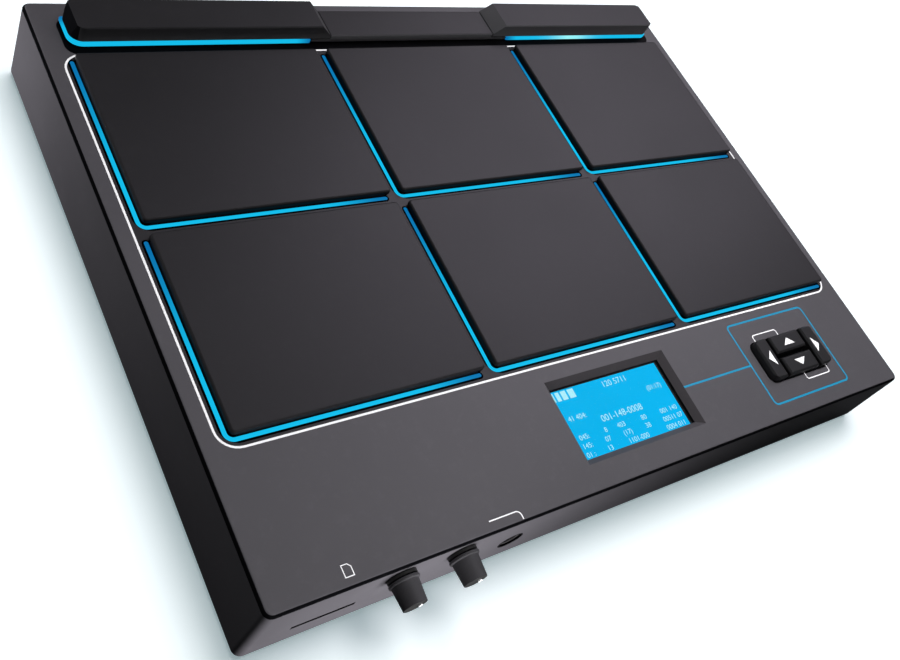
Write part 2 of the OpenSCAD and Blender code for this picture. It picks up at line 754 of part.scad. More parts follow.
// Steel plate bonded under pad i
module pad_plate(i) {
    color("silver") placed() at(pad_mid(i), well_z + foam_t) linear_extrude(plate_t)
        round_rect(pad_w - 2 * plate_inset, pad_d - 2 * plate_inset, pad_corner_r - plate_inset);
}

// Light guide along the left and front sides of pad i
module pad_guide(i) {
    color([0.1, 0.7, 0.95]) placed() translate([cell_x(i) + guide_gap, cell_y(i) + guide_gap, well_z])
        linear_extrude(well_depth - guide_sink) ell(guide_len_x, guide_len_y, guide_w, guide_bend_r);
}

// Four foam blocks in each well
module pad_foams() {
    inset = plate_inset + foam_w / 2 + foam_edge;
    color([0.15, 0.15, 0.16]) placed()
        for (i = [0:PADS - 1], sx = [-1, 1], sy = [-1, 1])
            at(pad_mid(i) + [sx * (pad_w / 2 - inset), sy * (pad_d / 2 - inset)], well_z)
                linear_extrude(foam_t) square(foam_w, center = true);
}

// One sensor disc in the middle of each well
module pad_sensors() {
    color([0.8, 0.65, 0.3]) placed()
        for (i = [0:PADS - 1]) at(pad_mid(i), well_z) cylinder(d = sensor_d, h = sensor_t);
}

// Two light boards under each well, below the slots of its guide
module led_boards() {
    inset = guide_gap + guide_w / 2 - led_board_w / 2;
    far = 2 * guide_bend_r;
    color([0.9, 0.9, 0.88]) placed() for (i = [0:PADS - 1]) {
        translate([cell_x(i) + inset, cell_y(i) + far, slab_z - board_t])
            cube([led_board_w, guide_len_y - 2 * far, board_t]);
        translate([cell_x(i) + far, cell_y(i) + inset, slab_z - board_t])
            cube([guide_len_x - 2 * far, led_board_w, board_t]);
    }
}

// Clear window behind the opening of the panel
module screen_window() {
    color([0.1, 0.6, 0.9, 0.4]) placed() at(screen_mid, ceiling_z - window_t) linear_extrude(window_t)
        square([screen_w + 2 * window_lap, screen_d + 2 * window_lap], center = true);
}

// Lit display behind the window
module screen_module() {
    bottom = ceiling_z - window_t - display_t;
    color([0.05, 0.66, 0.91]) placed() at(screen_mid, bottom) linear_extrude(display_t)
        square([screen_w + 4 * window_lap, screen_d + 3 * window_lap], center = true);
}

// Push button k: bevelled cap, flange under the panel and stem down to its dome
module nav_button(k) {
    top = panel_z + nav_rise;
    mid = nav_mid + NAV_SPOTS[k];
    half = NAV_SIZES[k] / 2;
    color([0.13, 0.13, 0.14]) placed() {
        intersection() {
            translate([0, 0, nav_flange_z]) linear_extrude(top - nav_flange_z) nav_plan(k, 0);
            translate([mid[0], mid[1] + half[1], 0])
                rotate([90, 0, 0]) linear_extrude(2 * half[1]) bevelled(half[0], top);
            translate([mid[0] - half[0], mid[1], 0])
                rotate([90, 0, 90]) linear_extrude(2 * half[0]) bevelled(half[1], top);
        }
        translate([0, 0, nav_flange_z]) linear_extrude(nav_flange_t) nav_plan(k, nav_flange_lip);
        at(mid, nav_flange_z - nav_stem_h) cylinder(d = post_d, h = nav_stem_h + nav_flange_t);
    }
}

// Section of a button with its top corners bevelled
module bevelled(half, top) {
    polygon([
        [-half, nav_flange_z],
        [half, nav_flange_z],
        [half, top - nav_bevel],
        [half - nav_bevel, top],
        [nav_bevel - half, top],
        [-half, top - nav_bevel]
    ]);
}

module nav_board() {
    color([0.1, 0.35, 0.2]) placed() difference() {
        at(nav_mid, nav_board_z) linear_extrude(board_t) square(nav_board_size, center = true);
        for (p = NAV_POSTS) at(p, nav_board_z - over)
            cylinder(d = board_screw_d + 2 * fit_gap, h = board_t + 2 * over);
    }
}

// One silicone dome under each button
module nav_domes() {
    color([0.7, 0.7, 0.7]) placed() for (k = [0:3]) {
        mid = nav_mid + NAV_SPOTS[k];
        at(mid, nav_board_z + board_t) cylinder(d1 = post_d + dome_flare, d2 = post_d, h = dome_h);
    }
}

// Knob on the front wall: flange, tapered barrel with a softened tip and a blind bore for the shaft
module knob(x) {
    softening = 0.4;
    flange_end = knob_back + knob_flange_t;
    bore_r = shaft_d / 2 + fit_gap / 4;
    bore_end = shaft_tip + fit_gap;
    color([0.16, 0.16, 0.17]) placed() translate([x, front_y, knob_axis_z]) rotate([90, 0, 0])
        rotate_extrude() polygon([
            [bore_r, knob_back],
            [knob_flange_d / 2, knob_back],
            [knob_flange_d / 2, flange_end - softening],
            [knob_flange_d / 2 - softening, flange_end],
            [knob_base_d / 2, flange_end],
            [knob_tip_d / 2, knob_reach - softening],
            [knob_tip_d / 2 - softening, knob_reach],
            [0, knob_reach],
            [0, bore_end],
            [bore_r, bore_end]
        ]);
}

module main_knob() {
    knob(main_mid);
}

module phones_knob() {
    knob(phones_mid);
}

// Potentiometer shaft, from inside the body to inside the knob
module shaft(x) {
    color("silver") placed() front_rod(x, knob_axis_z, shaft_d, front_y - shaft_in + fit_gap, shaft_tip);
}

module main_shaft() {
    shaft(main_mid);
}

module phones_shaft() {
    shaft(phones_mid);
}

// Bodies of the two potentiometers, held in the front wall by their bushings
module volume_pots() {
    color([0.3, 0.3, 0.32]) placed() for (x = [main_mid, phones_mid]) difference() {
        union() {
            translate([x - pot_size[0] / 2, front_y + wall, knob_axis_z - pot_size[2] / 2]) cube(pot_size);
            front_rod(x, knob_axis_z, bushing_d, -wall - over, nut_t);
        }
        front_rod(x, knob_axis_z, shaft_d + 2 * shaft_gap, front_y - shaft_in, nut_t + over);
    }
}

// Round collar nuts that hold the bushings
module pot_nuts() {
    color([0.08, 0.08, 0.08]) placed() for (x = [main_mid, phones_mid]) difference() {
        front_rod(x, knob_axis_z, nut_d, 0, nut_t);
        front_rod(x, knob_axis_z, bushing_d + fit_gap / 2, -over, nut_t + over);
    }
}

// Headphone socket: its nose sits just behind the face of the wall
module phones_jack() {
    nose = 0.8;
    color([0.1, 0.1, 0.1]) placed() difference() {
        union() {
            front_block(jack_mid, jack_size);
            front_rod(jack_mid, axis_z, jack_hole_d - 4 * fit_gap, -wall - over, -nose);
        }
        front_rod(jack_mid, axis_z, jack_bore_d, -jack_size[1], over);
    }
}

// Socket for a memory card behind the slot
module card_socket() {
    slot_z = panel_z - card_z;
    height = slot_z - front_board_z + card_h / 2 + over;
    color([0.7, 0.7, 0.72]) placed() difference() {
        translate([card_mid - card_w / 2 - over, front_y + wall, front_board_z])
            cube([card_w + 2 * over, card_depth, height]);
        translate([card_mid - card_w / 2, front_y + wall - over, slot_z - card_h / 2])
            cube([card_w, card_depth - over, card_h]);
    }
}

module front_board() {
    x0 = card_mid - card_w / 2 - over;
    x1 = front_post_x[1] + post_rim - board_rim;
    color([0.1, 0.35, 0.2]) placed() difference() {
        translate([x0, front_y + wall + over, front_board_z - board_t])
            cube([x1 - x0, front_board_d, board_t]);
        for (p = FRONT_POSTS) at(p, front_board_z - board_t - over)
            cylinder(d = board_screw_d + 2 * fit_gap, h = board_t + 2 * over);
    }
}

module rear_board() {
    x0 = rear_post_x[0] - post_rim + board_rim;
    x1 = rear_post_x[1] + post_rim - board_rim;
    color([0.1, 0.35, 0.2]) placed() difference() {
        translate([x0, back_y - wall - over - rear_board_d, rear_board_z - board_t])
            cube([x1 - x0, rear_board_d, board_t]);
        for (p = REAR_POSTS) at(p, rear_board_z - board_t - over)
            cylinder(d = board_screw_d + 2 * fit_gap, h = board_t + 2 * over);
    }
}

// Switch body with a guide bore for the power button
module power_switch() {
    color([0.15, 0.15, 0.15]) placed() difference() {
        rear_block(POWER_X, power_size);
        rear_rod(POWER_X, power_stem_d + 2 * play, -wall - power_size[1] / 2, over);
    }
}

// Round power button with a thinner stem into the switch
module power_button() {
    stem_end = power_size[1] / 2 - power_travel - play;
    color([0.1, 0.1, 0.1]) placed() {
        rear_rod(POWER_X, power_d, -wall + power_travel + play, rear_reach);
        rear_rod(POWER_X, power_stem_d, -wall - stem_end, 0);
    }
}

// Low-voltage inlet with its centre pin
module dc_inlet() {
    color([0.08, 0.08, 0.08]) placed() {
        difference() {
            union() {
                rear_block(DC_X, dc_size);
                rear_rod(DC_X, dc_nose_d, -wall - over, 0);
            }
            rear_rod(DC_X, dc_nose_d - 2 * dc_ring, -dc_depth, over);
        }
        rear_rod(DC_X, dc_pin[0], -dc_depth - over, -dc_pin[1]);
    }
}

// Square data port with its tongue
module usb_port() {
    usb_out = [usb_w, usb_h] + [1, 1] * 2 * usb_shell;
    color([0.75, 0.75, 0.78]) placed() {
        difference() {
            union() {
                rear_block(USB_X, usb_size);
                translate([USB_X - usb_out[0] / 2, back_y - wall - over, rear_axis_z - usb_out[1] / 2])
                    cube([usb_out[0], wall + over, usb_out[1]]);
            }
            translate([USB_X - usb_w / 2, back_y - usb_depth, rear_axis_z - usb_h / 2])
                cube([usb_w, usb_depth + over, usb_h]);
        }
        translate([USB_X - usb_tongue[0] / 2, back_y - usb_depth - over, rear_axis_z - usb_tongue[2] / 2])
            cube(usb_tongue);
    }
}

// Round five-pin sockets: a ring, an insert and five pin holes on an arc
module midi_sockets() {
    groove_d = midi_d - 2 * midi_ring;
    color([0.12, 0.12, 0.12]) placed() for (x = MIDI_X) difference() {
        union() {
            rear_block(x, midi_size);
            rear_rod(x, midi_d, -wall - over, 0);
        }
        difference() {
            rear_rod(x, groove_d, -midi_groove[1], over);
            rear_rod(x, groove_d - 2 * midi_groove[0], -midi_groove[1] - over, 0);
        }
        for (a = [0:45:180]) translate([midi_pin[1] * cos(a), 0, midi_pin[1] * sin(a)])
            rear_rod(x, midi_pin[0], -midi_pin[2], over);
    }
}

// Small stereo socket
module aux_jack() {
    color([0.08, 0.08, 0.08]) placed() difference() {
        union() {
            rear_block(AUX_X, aux_size);
            rear_rod(AUX_X, aux_nose_d, -wall - over, 0);
        }
        rear_rod(AUX_X, aux_bore_d, -aux_size[1], over);
    }
}

// Quarter inch sockets with threaded bushings through the wall
module rear_jacks() {
    color([0.1, 0.1, 0.1]) placed() for (x = REAR_JACK_X) difference() {
        union() {
            rear_block(x, rear_jack_size);
            rear_rod(x, rear_bushing_d, -wall - over, rear_reach - fit_gap);
        }
        rear_rod(x, jack_bore_d, -rear_jack_size[1], rear_reach + over);
    }
}

// Six-sided nuts on the bushings of the rear sockets
module jack_nuts() {
    color("silver") placed() for (x = REAR_JACK_X) difference() {
        translate([x, back_y, rear_axis_z]) rotate([-90, 0, 0])
            cylinder(d = rear_nut_d, h = rear_reach - 2 * fit_gap, $fn = 6);
        rear_rod(x, rear_bushing_d + fit_gap / 2, -over, rear_reach + over);
    }
}

// Rubber feet in shallow seats
module feet() {
    color([0.05, 0.05, 0.05]) placed() for (p = FEET) at(p, 0)
        cylinder(d1 = foot_d - foot_taper, d2 = foot_d, h = foot_h + foot_seat);
}

// Screws that hold the bottom cover to the bosses
module case_screws() {
    color("dimgray") placed() for (p = CASE_BOSSES) at(p, foot_h) {
        cylinder(d = screw_head_d, h = screw_head_h);
        cylinder(d = screw_d, h = cover_t + screw_l - over);
    }
}

// Screws of the three circuit boards
module board_screws() {
    length = board_screw_l - board_t / 2;
    color("dimgray") placed() {
        for (p = FRONT_POSTS) at(p, front_board_z) board_screw(length);
        for (p = REAR_POSTS) at(p, rear_board_z) board_screw(length);
        for (p = NAV_POSTS) at(p, nav_board_z) mirror([0, 0, 1]) board_screw(length);
    }
}

// Screw with its head above z = 0 and its shank below
module board_screw(length) {
    cylinder(d = board_screw_head[0], h = board_screw_head[1]);
    translate([0, 0, -length]) cylinder(d = board_screw_d, h = length + board_screw_head[1]);
}

// Brass inserts of the stand mount, open downward
module mount_inserts() {
    color("goldenrod") placed() for (p = MOUNTS) at(p, foot_h) difference() {
        cylinder(d = mount_insert_d, h = mount_insert_l);
        translate([0, 0, -over]) cylinder(d = mount_core_d, h = mount_insert_l + 2 * over);
    }
}

top_case();
bottom_cover();
bar_centre();
trigger_bar_left();
trigger_bar_right();
bar_guide_left();
bar_guide_right();
bar_foams();
bar_sensors();
for (i = [0:PADS - 1]) {
    pad(i);
    pad_plate(i);
    pad_guide(i);
}
pad_foams();
pad_sensors();
led_boards();
screen_window();
screen_module();
for (k = [0:3])
    nav_button(k);
nav_board();
nav_domes();
main_knob();
phones_knob();
main_shaft();
phones_shaft();
volume_pots();
pot_nuts();
phones_jack();
card_socket();
front_board();
rear_board();
power_switch();
power_button();
dc_inlet();
usb_port();
midi_sockets();
aux_jack();
rear_jacks();
jack_nuts();
feet();
case_screws();
board_screws();
mount_inserts();
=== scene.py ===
"""Looks of an electronic percussion pad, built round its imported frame. Metres, +X right, +Y back, +Z up."""

import json
import math

import bpy
from bpy.props import FloatProperty, FloatVectorProperty, IntProperty, PointerProperty
from mathutils import Matrix, Vector


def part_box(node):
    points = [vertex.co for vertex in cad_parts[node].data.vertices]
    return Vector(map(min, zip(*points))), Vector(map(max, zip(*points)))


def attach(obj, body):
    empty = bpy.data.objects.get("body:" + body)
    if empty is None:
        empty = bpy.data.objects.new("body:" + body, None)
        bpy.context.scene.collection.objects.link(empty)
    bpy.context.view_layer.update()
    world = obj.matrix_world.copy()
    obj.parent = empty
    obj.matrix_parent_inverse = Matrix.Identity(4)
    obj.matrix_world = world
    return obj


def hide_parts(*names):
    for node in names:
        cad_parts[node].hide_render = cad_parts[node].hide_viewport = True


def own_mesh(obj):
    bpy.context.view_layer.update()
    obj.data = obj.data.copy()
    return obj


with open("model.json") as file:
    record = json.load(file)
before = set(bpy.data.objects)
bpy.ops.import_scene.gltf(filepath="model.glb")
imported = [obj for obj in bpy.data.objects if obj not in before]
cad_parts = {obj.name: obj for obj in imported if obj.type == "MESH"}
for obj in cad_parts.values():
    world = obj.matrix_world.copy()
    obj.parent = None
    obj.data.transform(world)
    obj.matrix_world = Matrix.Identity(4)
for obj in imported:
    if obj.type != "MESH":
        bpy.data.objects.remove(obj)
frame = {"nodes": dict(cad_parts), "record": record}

bl_info = {
    "name": "Percussion Pad Looks",
    "version": (1, 0, 0),
    "blender": (4, 5, 0),
    "location": "View3D > Sidebar > Percussion Pad",
    "description": "Builds the visible pieces, finishes and stage of an electronic percussion pad",
    "category": "Object",
}

MM = 0.001
SAME = 1e-6  # points closer than this to a plane lie in it
PADS = [f"pad_{i}" for i in range(1, 7)]
GUIDES = [f"pad_guide_{i}" for i in range(1, 7)]
ARROWS = {"nav_left": 90, "nav_up": 0, "nav_down": 180, "nav_right": -90}  # turn of each arrow in degrees
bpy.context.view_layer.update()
PANEL_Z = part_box("screen_window")[1].z + 3 * MM
PRINT_Z = PANEL_Z + 0.01 * MM
FRONT_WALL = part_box("top_case")[0].y
REPLACED = set()  # CAD nodes that a modelled piece stands for


def colour(name, note, default):
    return FloatVectorProperty(name=name, description=note, default=default, size=3, subtype="COLOR",
                               min=0.0, max=1.0)


def length(name, note, default):
    return FloatProperty(name=name, description=note, default=default, min=0.0, unit="LENGTH", precision=5)


def amount(name, note, default):
    return FloatProperty(name=name, description=note, default=default, min=0.0)


class CaseLook(bpy.types.PropertyGroup):
    """Moulded case and its printed lines"""
    plastic: colour("Plastic", "Colour of the moulded case", (0.059, 0.056, 0.063))
    cover: colour("Cover", "Colour of the bottom cover", (0.018, 0.018, 0.019))
    # Painted shade: the darkest colour stands for shadow in the edge line, on the bar's seat, in the recesses and
    # wall openings, beside the light guides, on the left strip's left end, round the foot of the bar and round the
    # headphone hole.
    black: colour("Black", "Colour of the edge line, the bar's seat and the recesses", (0.0014, 0.0014, 0.0018))
    # Painted shade: a darker colour on the far slopes round the screen, which lie in shade.
    slope: colour("Slope", "Colour of the slopes round the screen", (0.046, 0.042, 0.046))
    # Painted shade: a darker colour for the panel among the pads, standing for the shadow there.
    ground: colour("Ground", "Colour of the panel among the pads", (0.019, 0.018, 0.020))
    edge: length("Edge", "Softening of the case's moulded edges", 0.22 * MM)
    white_ink: colour("White ink", "Colour of the white lines", (0.92, 0.92, 0.94))
    blue_ink: colour("Blue ink", "Colour of the blue lines", (0.0, 0.225, 0.40))
    line: length("Line", "Width of the outline round the pads", 0.9 * MM)
    ink: length("Ink", "Thickness of the printed lines", 0.03 * MM)


class PadLook(bpy.types.PropertyGroup):
    """Rubber pads and trigger strips"""
    rubber: colour("Rubber", "Colour of the pads", (0.0135, 0.013, 0.0145))
    strip: colour("Strip", "Colour of the trigger strips", (0.014, 0.0135, 0.015))
    # Painted light: a lighter colour on the rear bar's sloped ends and front faces, standing for the light that they
    # catch.
    strip_slope: colour("Strip slopes", "Colour of the rear bar's slopes", (0.045, 0.044, 0.048))
    corner: length("Corner", "Radius of a pad's corners inside its well", 3.95 * MM)
    lip_corner: length("Lip corner", "Radius of a pad's corners above the panel", 1.7 * MM)
    edge: length("Edge", "Rounding of a pad's top edge", 1.0 * MM)
    strip_edge: length("Strip edge", "Rounding of the trigger strips", 0.4 * MM)


class GlowLook(bpy.types.PropertyGroup):
    """Lit pieces"""
    bright: colour("Bright", "Colour of a light guide at its bend", (0.007, 0.50, 0.81))
    spot: colour("Spot", "Colour of the rear bar's light guide over its lamp", (0.35, 0.95, 0.96))
    dim: colour("Dim", "Colour of a light guide at its ends", (0.003, 0.15, 0.39))
    fade: length("Fade", "Length over which a guide fades towards its front end", 34 * MM)
    side_fade: length("Side fade", "Length over which a guide fades towards its back end", 64 * MM)
    screen: colour("Screen", "Colour of the lit screen", (0.0, 0.45, 0.83))
    marks: colour("Marks", "Colour of the marks on the screen", (0.42, 0.86, 0.96))


class ControlLook(bpy.types.PropertyGroup):
    """Buttons and knobs"""
    button: colour("Button", "Colour of the buttons", (0.012, 0.012, 0.013))
    button_edge: length("Button edge", "Rounding of a button's edges", 0.35 * MM)
    knob: colour("Knob", "Colour of the knobs", (0.031, 0.030, 0.033))
    knob_sides: IntProperty(name="Knob sides", description="Faces round a knob", default=96, min=24)


class StageLook(bpy.types.PropertyGroup):
    """Floor, light and camera"""
    floor: colour("Floor", "Colour of the floor as the camera sees it", (0.95, 0.965, 0.98))
    lift: amount("Lift", "Light that the camera sees in the floor's shadows", 0.36)
    bounce: colour("Bounce", "Colour of the floor for light that it throws back", (0.05, 0.052, 0.055))
    sky: amount("Sky", "Strength of the even studio light", 0.05)
    key: amount("Key", "Power of the large soft light in watts", 28.0)
    sheen: amount("Sheen", "Power of the light that the panel mirrors in watts", 4.5)
    side: amount("Side", "Power of the low light at the left in watts", 0.66)
    front: amount("Front", "Power of the low light at the front in watts", 0.95)
    far: amount("Far", "Power of the low lights at the back and right in watts", 0.6)
    under: amount("Under", "Power of the light below the floor, for views from below, in watts", 4.0)
    panel: amount("Panel", "Power of the light over the panel in watts", 0.6)
    lens: FloatProperty(name="Lens", description="Focal length in millimetres", default=42.341, min=1.0)
    shift_x: FloatProperty(name="Shift X", description="Sideways shift of the lens", default=-0.04667)
    shift_y: FloatProperty(name="Shift Y", description="Upward shift of the lens", default=-0.06889)


def pads_field():
    """Corners of the printed outline round the pads."""
    low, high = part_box("pad_guide_4")[0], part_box("pad_3")[1]
    return low - Vector((2.6 * MM, 2.6 * MM, 0)), high + Vector((2.4 * MM, 1.9 * MM, 0))


def middle_of(node):
    return sum(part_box(node), Vector()) / 2


def look(group):
    return getattr(bpy.context.scene, "percussion_" + group)


def deselect():
    if bpy.context.object and bpy.context.object.mode != "OBJECT":
        leave_edit()
    bpy.ops.object.select_all(action="DESELECT")


def activate(piece):
    deselect()
    piece.select_set(True)
    bpy.context.view_layer.objects.active = piece


def edit_all(piece):
    """Goes to edit mode with the whole piece selected."""
    activate(piece)
    bpy.ops.object.mode_set(mode="EDIT")
    bpy.ops.mesh.select_all(action="SELECT")


def leave_edit():
    bpy.ops.object.mode_set(mode="OBJECT")


def placed(name, scale=None):
    """The shape that was just added, with its name and with its place applied."""
    piece = bpy.context.object
    piece.name = name
    if scale is not None:
        piece.scale = scale
    activate(piece)
    bpy.ops.object.transform_apply(location=True, rotation=True, scale=True)
    return piece


def start_box(name, low, high):
    """A box between two corners, ready to be shaped."""
    deselect()
    bpy.ops.mesh.primitive_cube_add(size=1, location=(low + high) / 2)
    return placed(name, high - low)


def start_plane(name, mid, size):
    """A flat sheet about a point, ready to be shaped."""
    deselect()
    bpy.ops.mesh.primitive_plane_add(size=1, location=mid)
    return placed(name, (size[0], size[1], 1))


def pick(piece, mode, test):
    """Goes to edit mode with the edges or faces selected whose corners all pass the test."""
    activate(piece)
    bpy.ops.object.mode_set(mode="EDIT")
    bpy.ops.mesh.select_mode(type=mode)
    bpy.ops.mesh.select_all(action="DESELECT")
    leave_edit()
    points = piece.data.vertices
    parts = piece.data.edges if mode == "EDGE" else piece.data.polygons
    for part in parts:
        part.select = test([points[i].co for i in part.vertices])
    bpy.ops.object.mode_set(mode="EDIT")


def above(z):
    """A test for pick: whether all corners lie at this height."""
    return lambda points: all(p.z > z - SAME for p in points)


def apply_modifier(piece, kind, **settings):
    activate(piece)
    modifier = piece.modifiers.new(kind.title(), kind)
    for key, value in settings.items():
        setattr(modifier, key, value)
    bpy.ops.object.modifier_apply(modifier=modifier.name)


def smooth(piece, degrees=35):
    activate(piece)
    bpy.ops.object.shade_smooth_by_angle(angle=math.radians(degrees))
    apply_modifier(piece, "WEIGHTED_NORMAL", keep_sharp=True, weight=100)


def paint(piece, materials, choose):
    """Gives each face a material, by a rule that returns its number."""
    for material in materials:
        piece.data.materials.append(material)
    for face in piece.data.polygons:
        face.material_index = choose(face)


def dress(piece, body, slot, *nodes):
    """Attaches a piece to its body, gives it the slot's finish if it has none yet, and hides the CAD nodes that it
    stands for.
    """
    deselect()
    if not piece.data.materials:
        piece.data.materials.append(slot_material(slot))
    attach(piece, body)
    if nodes:
        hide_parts(*nodes)
        REPLACED.update(nodes)


def new_copy(mesh, name):
    piece = bpy.data.objects.new(name, mesh.copy())
    bpy.context.scene.collection.objects.link(piece)
    return piece


def refined_copy(node, name, edge, segments=2):
    """A merged copy of a CAD node with softened edges and smooth curves."""
    piece = new_copy(frame["nodes"][node].data, name)
    piece.data.materials.clear()
    activate(piece)
    bpy.ops.mesh.customdata_custom_splitnormals_clear()
    edit_all(piece)
    bpy.ops.mesh.remove_doubles(threshold=0.002 * MM)
    bpy.ops.mesh.dissolve_limited(angle_limit=math.radians(0.5))
    leave_edit()
    apply_modifier(piece, "BEVEL", width=edge, segments=segments, limit_method="ANGLE",
                   angle_limit=math.radians(32), use_clamp_overlap=True)
    smooth(piece)
    return piece


def copies(first, name, nodes):
    """The first piece, and copies of it moved to the places of the other CAD nodes."""
    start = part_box(nodes[0])[0]
    pieces = [first]
    for i, node in enumerate(nodes[1:], 2):
        pieces.append(new_copy(first.data, f"{name}_{i}"))
        pieces[-1].data.transform(Matrix.Translation(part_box(node)[0] - start))
    return pieces


def put(node, inputs):
    """Sets a shader node's inputs to values, or links them to the outputs of other nodes."""
    for key, value in inputs.items():
        entry = node.inputs[key]
        if isinstance(value, bpy.types.NodeSocket):
            node.id_data.links.new(value, entry)
        else:
            entry.default_value = (*value, 1.0) if entry.type == "RGBA" else value


def add(tree, kind, inputs=None, **settings):
    """A new shader node with its settings and inputs."""
    node = tree.nodes.new("ShaderNode" + kind)
    for key, value in settings.items():
        setattr(node, key, value)
    put(node, inputs or {})
    return node


def shader_group(name, inputs, outputs):
    """An empty shader group with named value inputs and outputs."""
    group = bpy.data.node_groups.new(name, "ShaderNodeTree")
    for title, default in inputs.items():
        group.interface.new_socket(title, in_out="INPUT", socket_type="NodeSocketFloat").default_value = default
    for title in outputs:
        group.interface.new_socket(title, in_out="OUTPUT", socket_type="NodeSocketFloat")
    return group, group.nodes.new("NodeGroupInput").outputs, group.nodes.new("NodeGroupOutput")


def math_node(tree, operation, first, second):
    return add(tree, "Math", {0: first, 1: second}, operation=operation).outputs[0]


def place_in(tree):
    return add(tree, "TexCoord").outputs["Object"]


def make_grain_group():
    """Moulded grain: a fine pitted height, and slow patches that vary colour and gloss."""
    group, given, end = shader_group("moulded_grain", {"Grain": 2600.0, "Patch": 14.0}, ["Height", "Patches"])
    place, grain = place_in(group), given["Grain"]
    fine = add(group, "TexNoise", {"Vector": place, "Scale": grain, "Detail": 2.0, "Roughness": 0.6})
    cells = add(group, "TexVoronoi", {"Vector": place, "Scale": math_node(group, "MULTIPLY", grain, 0.6)},
                feature="SMOOTH_F1")
    patch = add(group, "TexNoise", {"Vector": place, "Scale": given["Patch"], "Detail": 4.0})
    height = math_node(group, "ADD", math_node(group, "MULTIPLY", fine.outputs[0], 0.5),
                       math_node(group, "MULTIPLY", cells.outputs["Distance"], 0.5))
    put(end, {"Height": height, "Patches": patch.outputs[0]})
    return group


def make_dust_group():
    """Faint dust and rubbed marks: a sparse mask that lightens a surface."""
    group, given, end = shader_group("faint_dust", {"Scale": 180.0, "Amount": 0.35}, ["Mask"])
    specks = add(group, "TexNoise", {"Vector": place_in(group), "Scale": given["Scale"], "Detail": 6.0,
                                     "Roughness": 0.75})
    rise = add(group, "MapRange", {"Value": specks.outputs[0], "From Min": 0.52, "From Max": 0.80})
    put(end, {"Mask": math_node(group, "MULTIPLY", rise.outputs[0], given["Amount"])})
    return group


def make_brushed_group():
    """Fine turned lines for metal: a stretched noise height."""
    group, given, end = shader_group("turned_lines", {"Scale": 900.0}, ["Height"])
    stretch = add(group, "Mapping", {"Vector": place_in(group), "Scale": (1.0, 12.0, 1.0)})
    lines = add(group, "TexNoise", {"Vector": stretch.outputs[0], "Scale": given["Scale"], "Detail": 3.0})
    put(end, {"Height": lines.outputs[0]})
    return group


def group_outputs(tree, name, maker, **values):
    """The outputs of a shader group that is placed in a material, and made on its first use."""
    return add(tree, "Group", values, node_tree=bpy.data.node_groups.get(name) or maker()).outputs


def grain_in(tree, **values):
    return group_outputs(tree, "moulded_grain", make_grain_group, **values)


def dust_in(tree, **values):
    return group_outputs(tree, "faint_dust", make_dust_group, **values)


def made(name):
    """A finish made earlier by this script. The frame's own flat materials have the plain slot names."""
    return bpy.data.materials.get(name + "_finish")


def once(maker):
    """Makes a finish on its first use, and finds it after that."""
    return lambda: made(maker.__name__) or maker()


def new_material(name):
    material = bpy.data.materials.new(name + "_finish")
    material.use_nodes = True
    return material, material.node_tree, material.node_tree.nodes["Principled BSDF"]


def mix_colours(tree, factor, first, second):
    """A blend of two colours. The mix node's inputs 6 and 7 and its output 2 are its colours."""
    return add(tree, "Mix", {0: factor, 6: first, 7: second}, data_type="RGBA").outputs[2]


def tinted(base, factor):
    return [min(1.0, c * factor) for c in base]


def bump(tree, height, strength, depth):
    return add(tree, "Bump", {"Height": height, "Strength": strength, "Distance": depth}).outputs["Normal"]


def map_range(tree, value, low, high):
    return add(tree, "MapRange", {"Value": value, "To Min": low, "To Max": high}).outputs[0]


def moulded(name, base, roughness, grain, depth, specular, dust=0.2):
    """Plastic or rubber with a moulded grain, uneven gloss and a little dust. depth is in millimetres."""
    if made(name):
        return made(name)
    material, tree, shader = new_material(name)
    texture = grain_in(tree, Grain=grain)
    specks = dust_in(tree, Amount=dust)
    body = mix_colours(tree, texture["Patches"], tinted(base, 0.84), tinted(base, 1.16))
    pale = [min(1.0, c * 1.6 + 0.02) for c in base]
    put(shader, {"Base Color": mix_colours(tree, specks["Mask"], body, pale),
                 "Roughness": map_range(tree, texture["Patches"], roughness - 0.06, roughness + 0.06),
                 "Normal": bump(tree, texture["Height"], 0.5, depth * MM),
                 "Specular IOR Level": specular})
    return material


def metal(name, base, roughness):
    """Plain metal with fine turned lines."""
    if made(name):
        return made(name)
    material, tree, shader = new_material(name)
    lines = group_outputs(tree, "turned_lines", make_brushed_group)["Height"]
    texture = grain_in(tree, Grain=600.0, Patch=60.0)
    put(shader, {"Base Color": mix_colours(tree, texture["Patches"], tinted(base, 0.8), base),
                 "Roughness": map_range(tree, lines, roughness - 0.08, roughness + 0.1),
                 "Normal": bump(tree, lines, 0.3, 0.02 * MM),
                 "Metallic": 1.0})
    return material


def darken_ground(material):
    """Paints shade on the panel inside the rounded outline of the pads: a darker colour that stands for the shadow
    among the pads and their guides.
    """
    tree, radius, inside_line = material.node_tree, 8.2 * MM, 0.5 * MM
    shader = tree.nodes["Principled BSDF"]
    plain = shader.inputs["Base Color"].links[0].from_socket
    parts = add(tree, "SeparateXYZ", {0: place_in(tree)}).outputs
    low, high = pads_field()
    beyond = []
    for axis in (0, 1):
        mid, half = (low[axis] + high[axis]) / 2, (high[axis] - low[axis]) / 2 - inside_line
        away = math_node(tree, "ABSOLUTE", math_node(tree, "SUBTRACT", parts[axis], mid), 0)
        out = math_node(tree, "MAXIMUM", math_node(tree, "SUBTRACT", away, half - radius), 0)
        beyond.append(math_node(tree, "POWER", out, 2))
    inside = math_node(tree, "LESS_THAN", math_node(tree, "ADD", *beyond), radius ** 2)
    on_top = math_node(tree, "GREATER_THAN", parts[2], PANEL_Z - 0.3 * MM)
    ground = mix_colours(tree, math_node(tree, "MULTIPLY", inside, on_top), plain, look("case").ground)
    put(shader, {"Base Color": ground})


@once
def case_plastic():
    material = moulded("case_plastic", look("case").plastic, 0.36, 2600, 0.015, 0.5)
    # Painted shade among the pads.
    darken_ground(material)
    return material


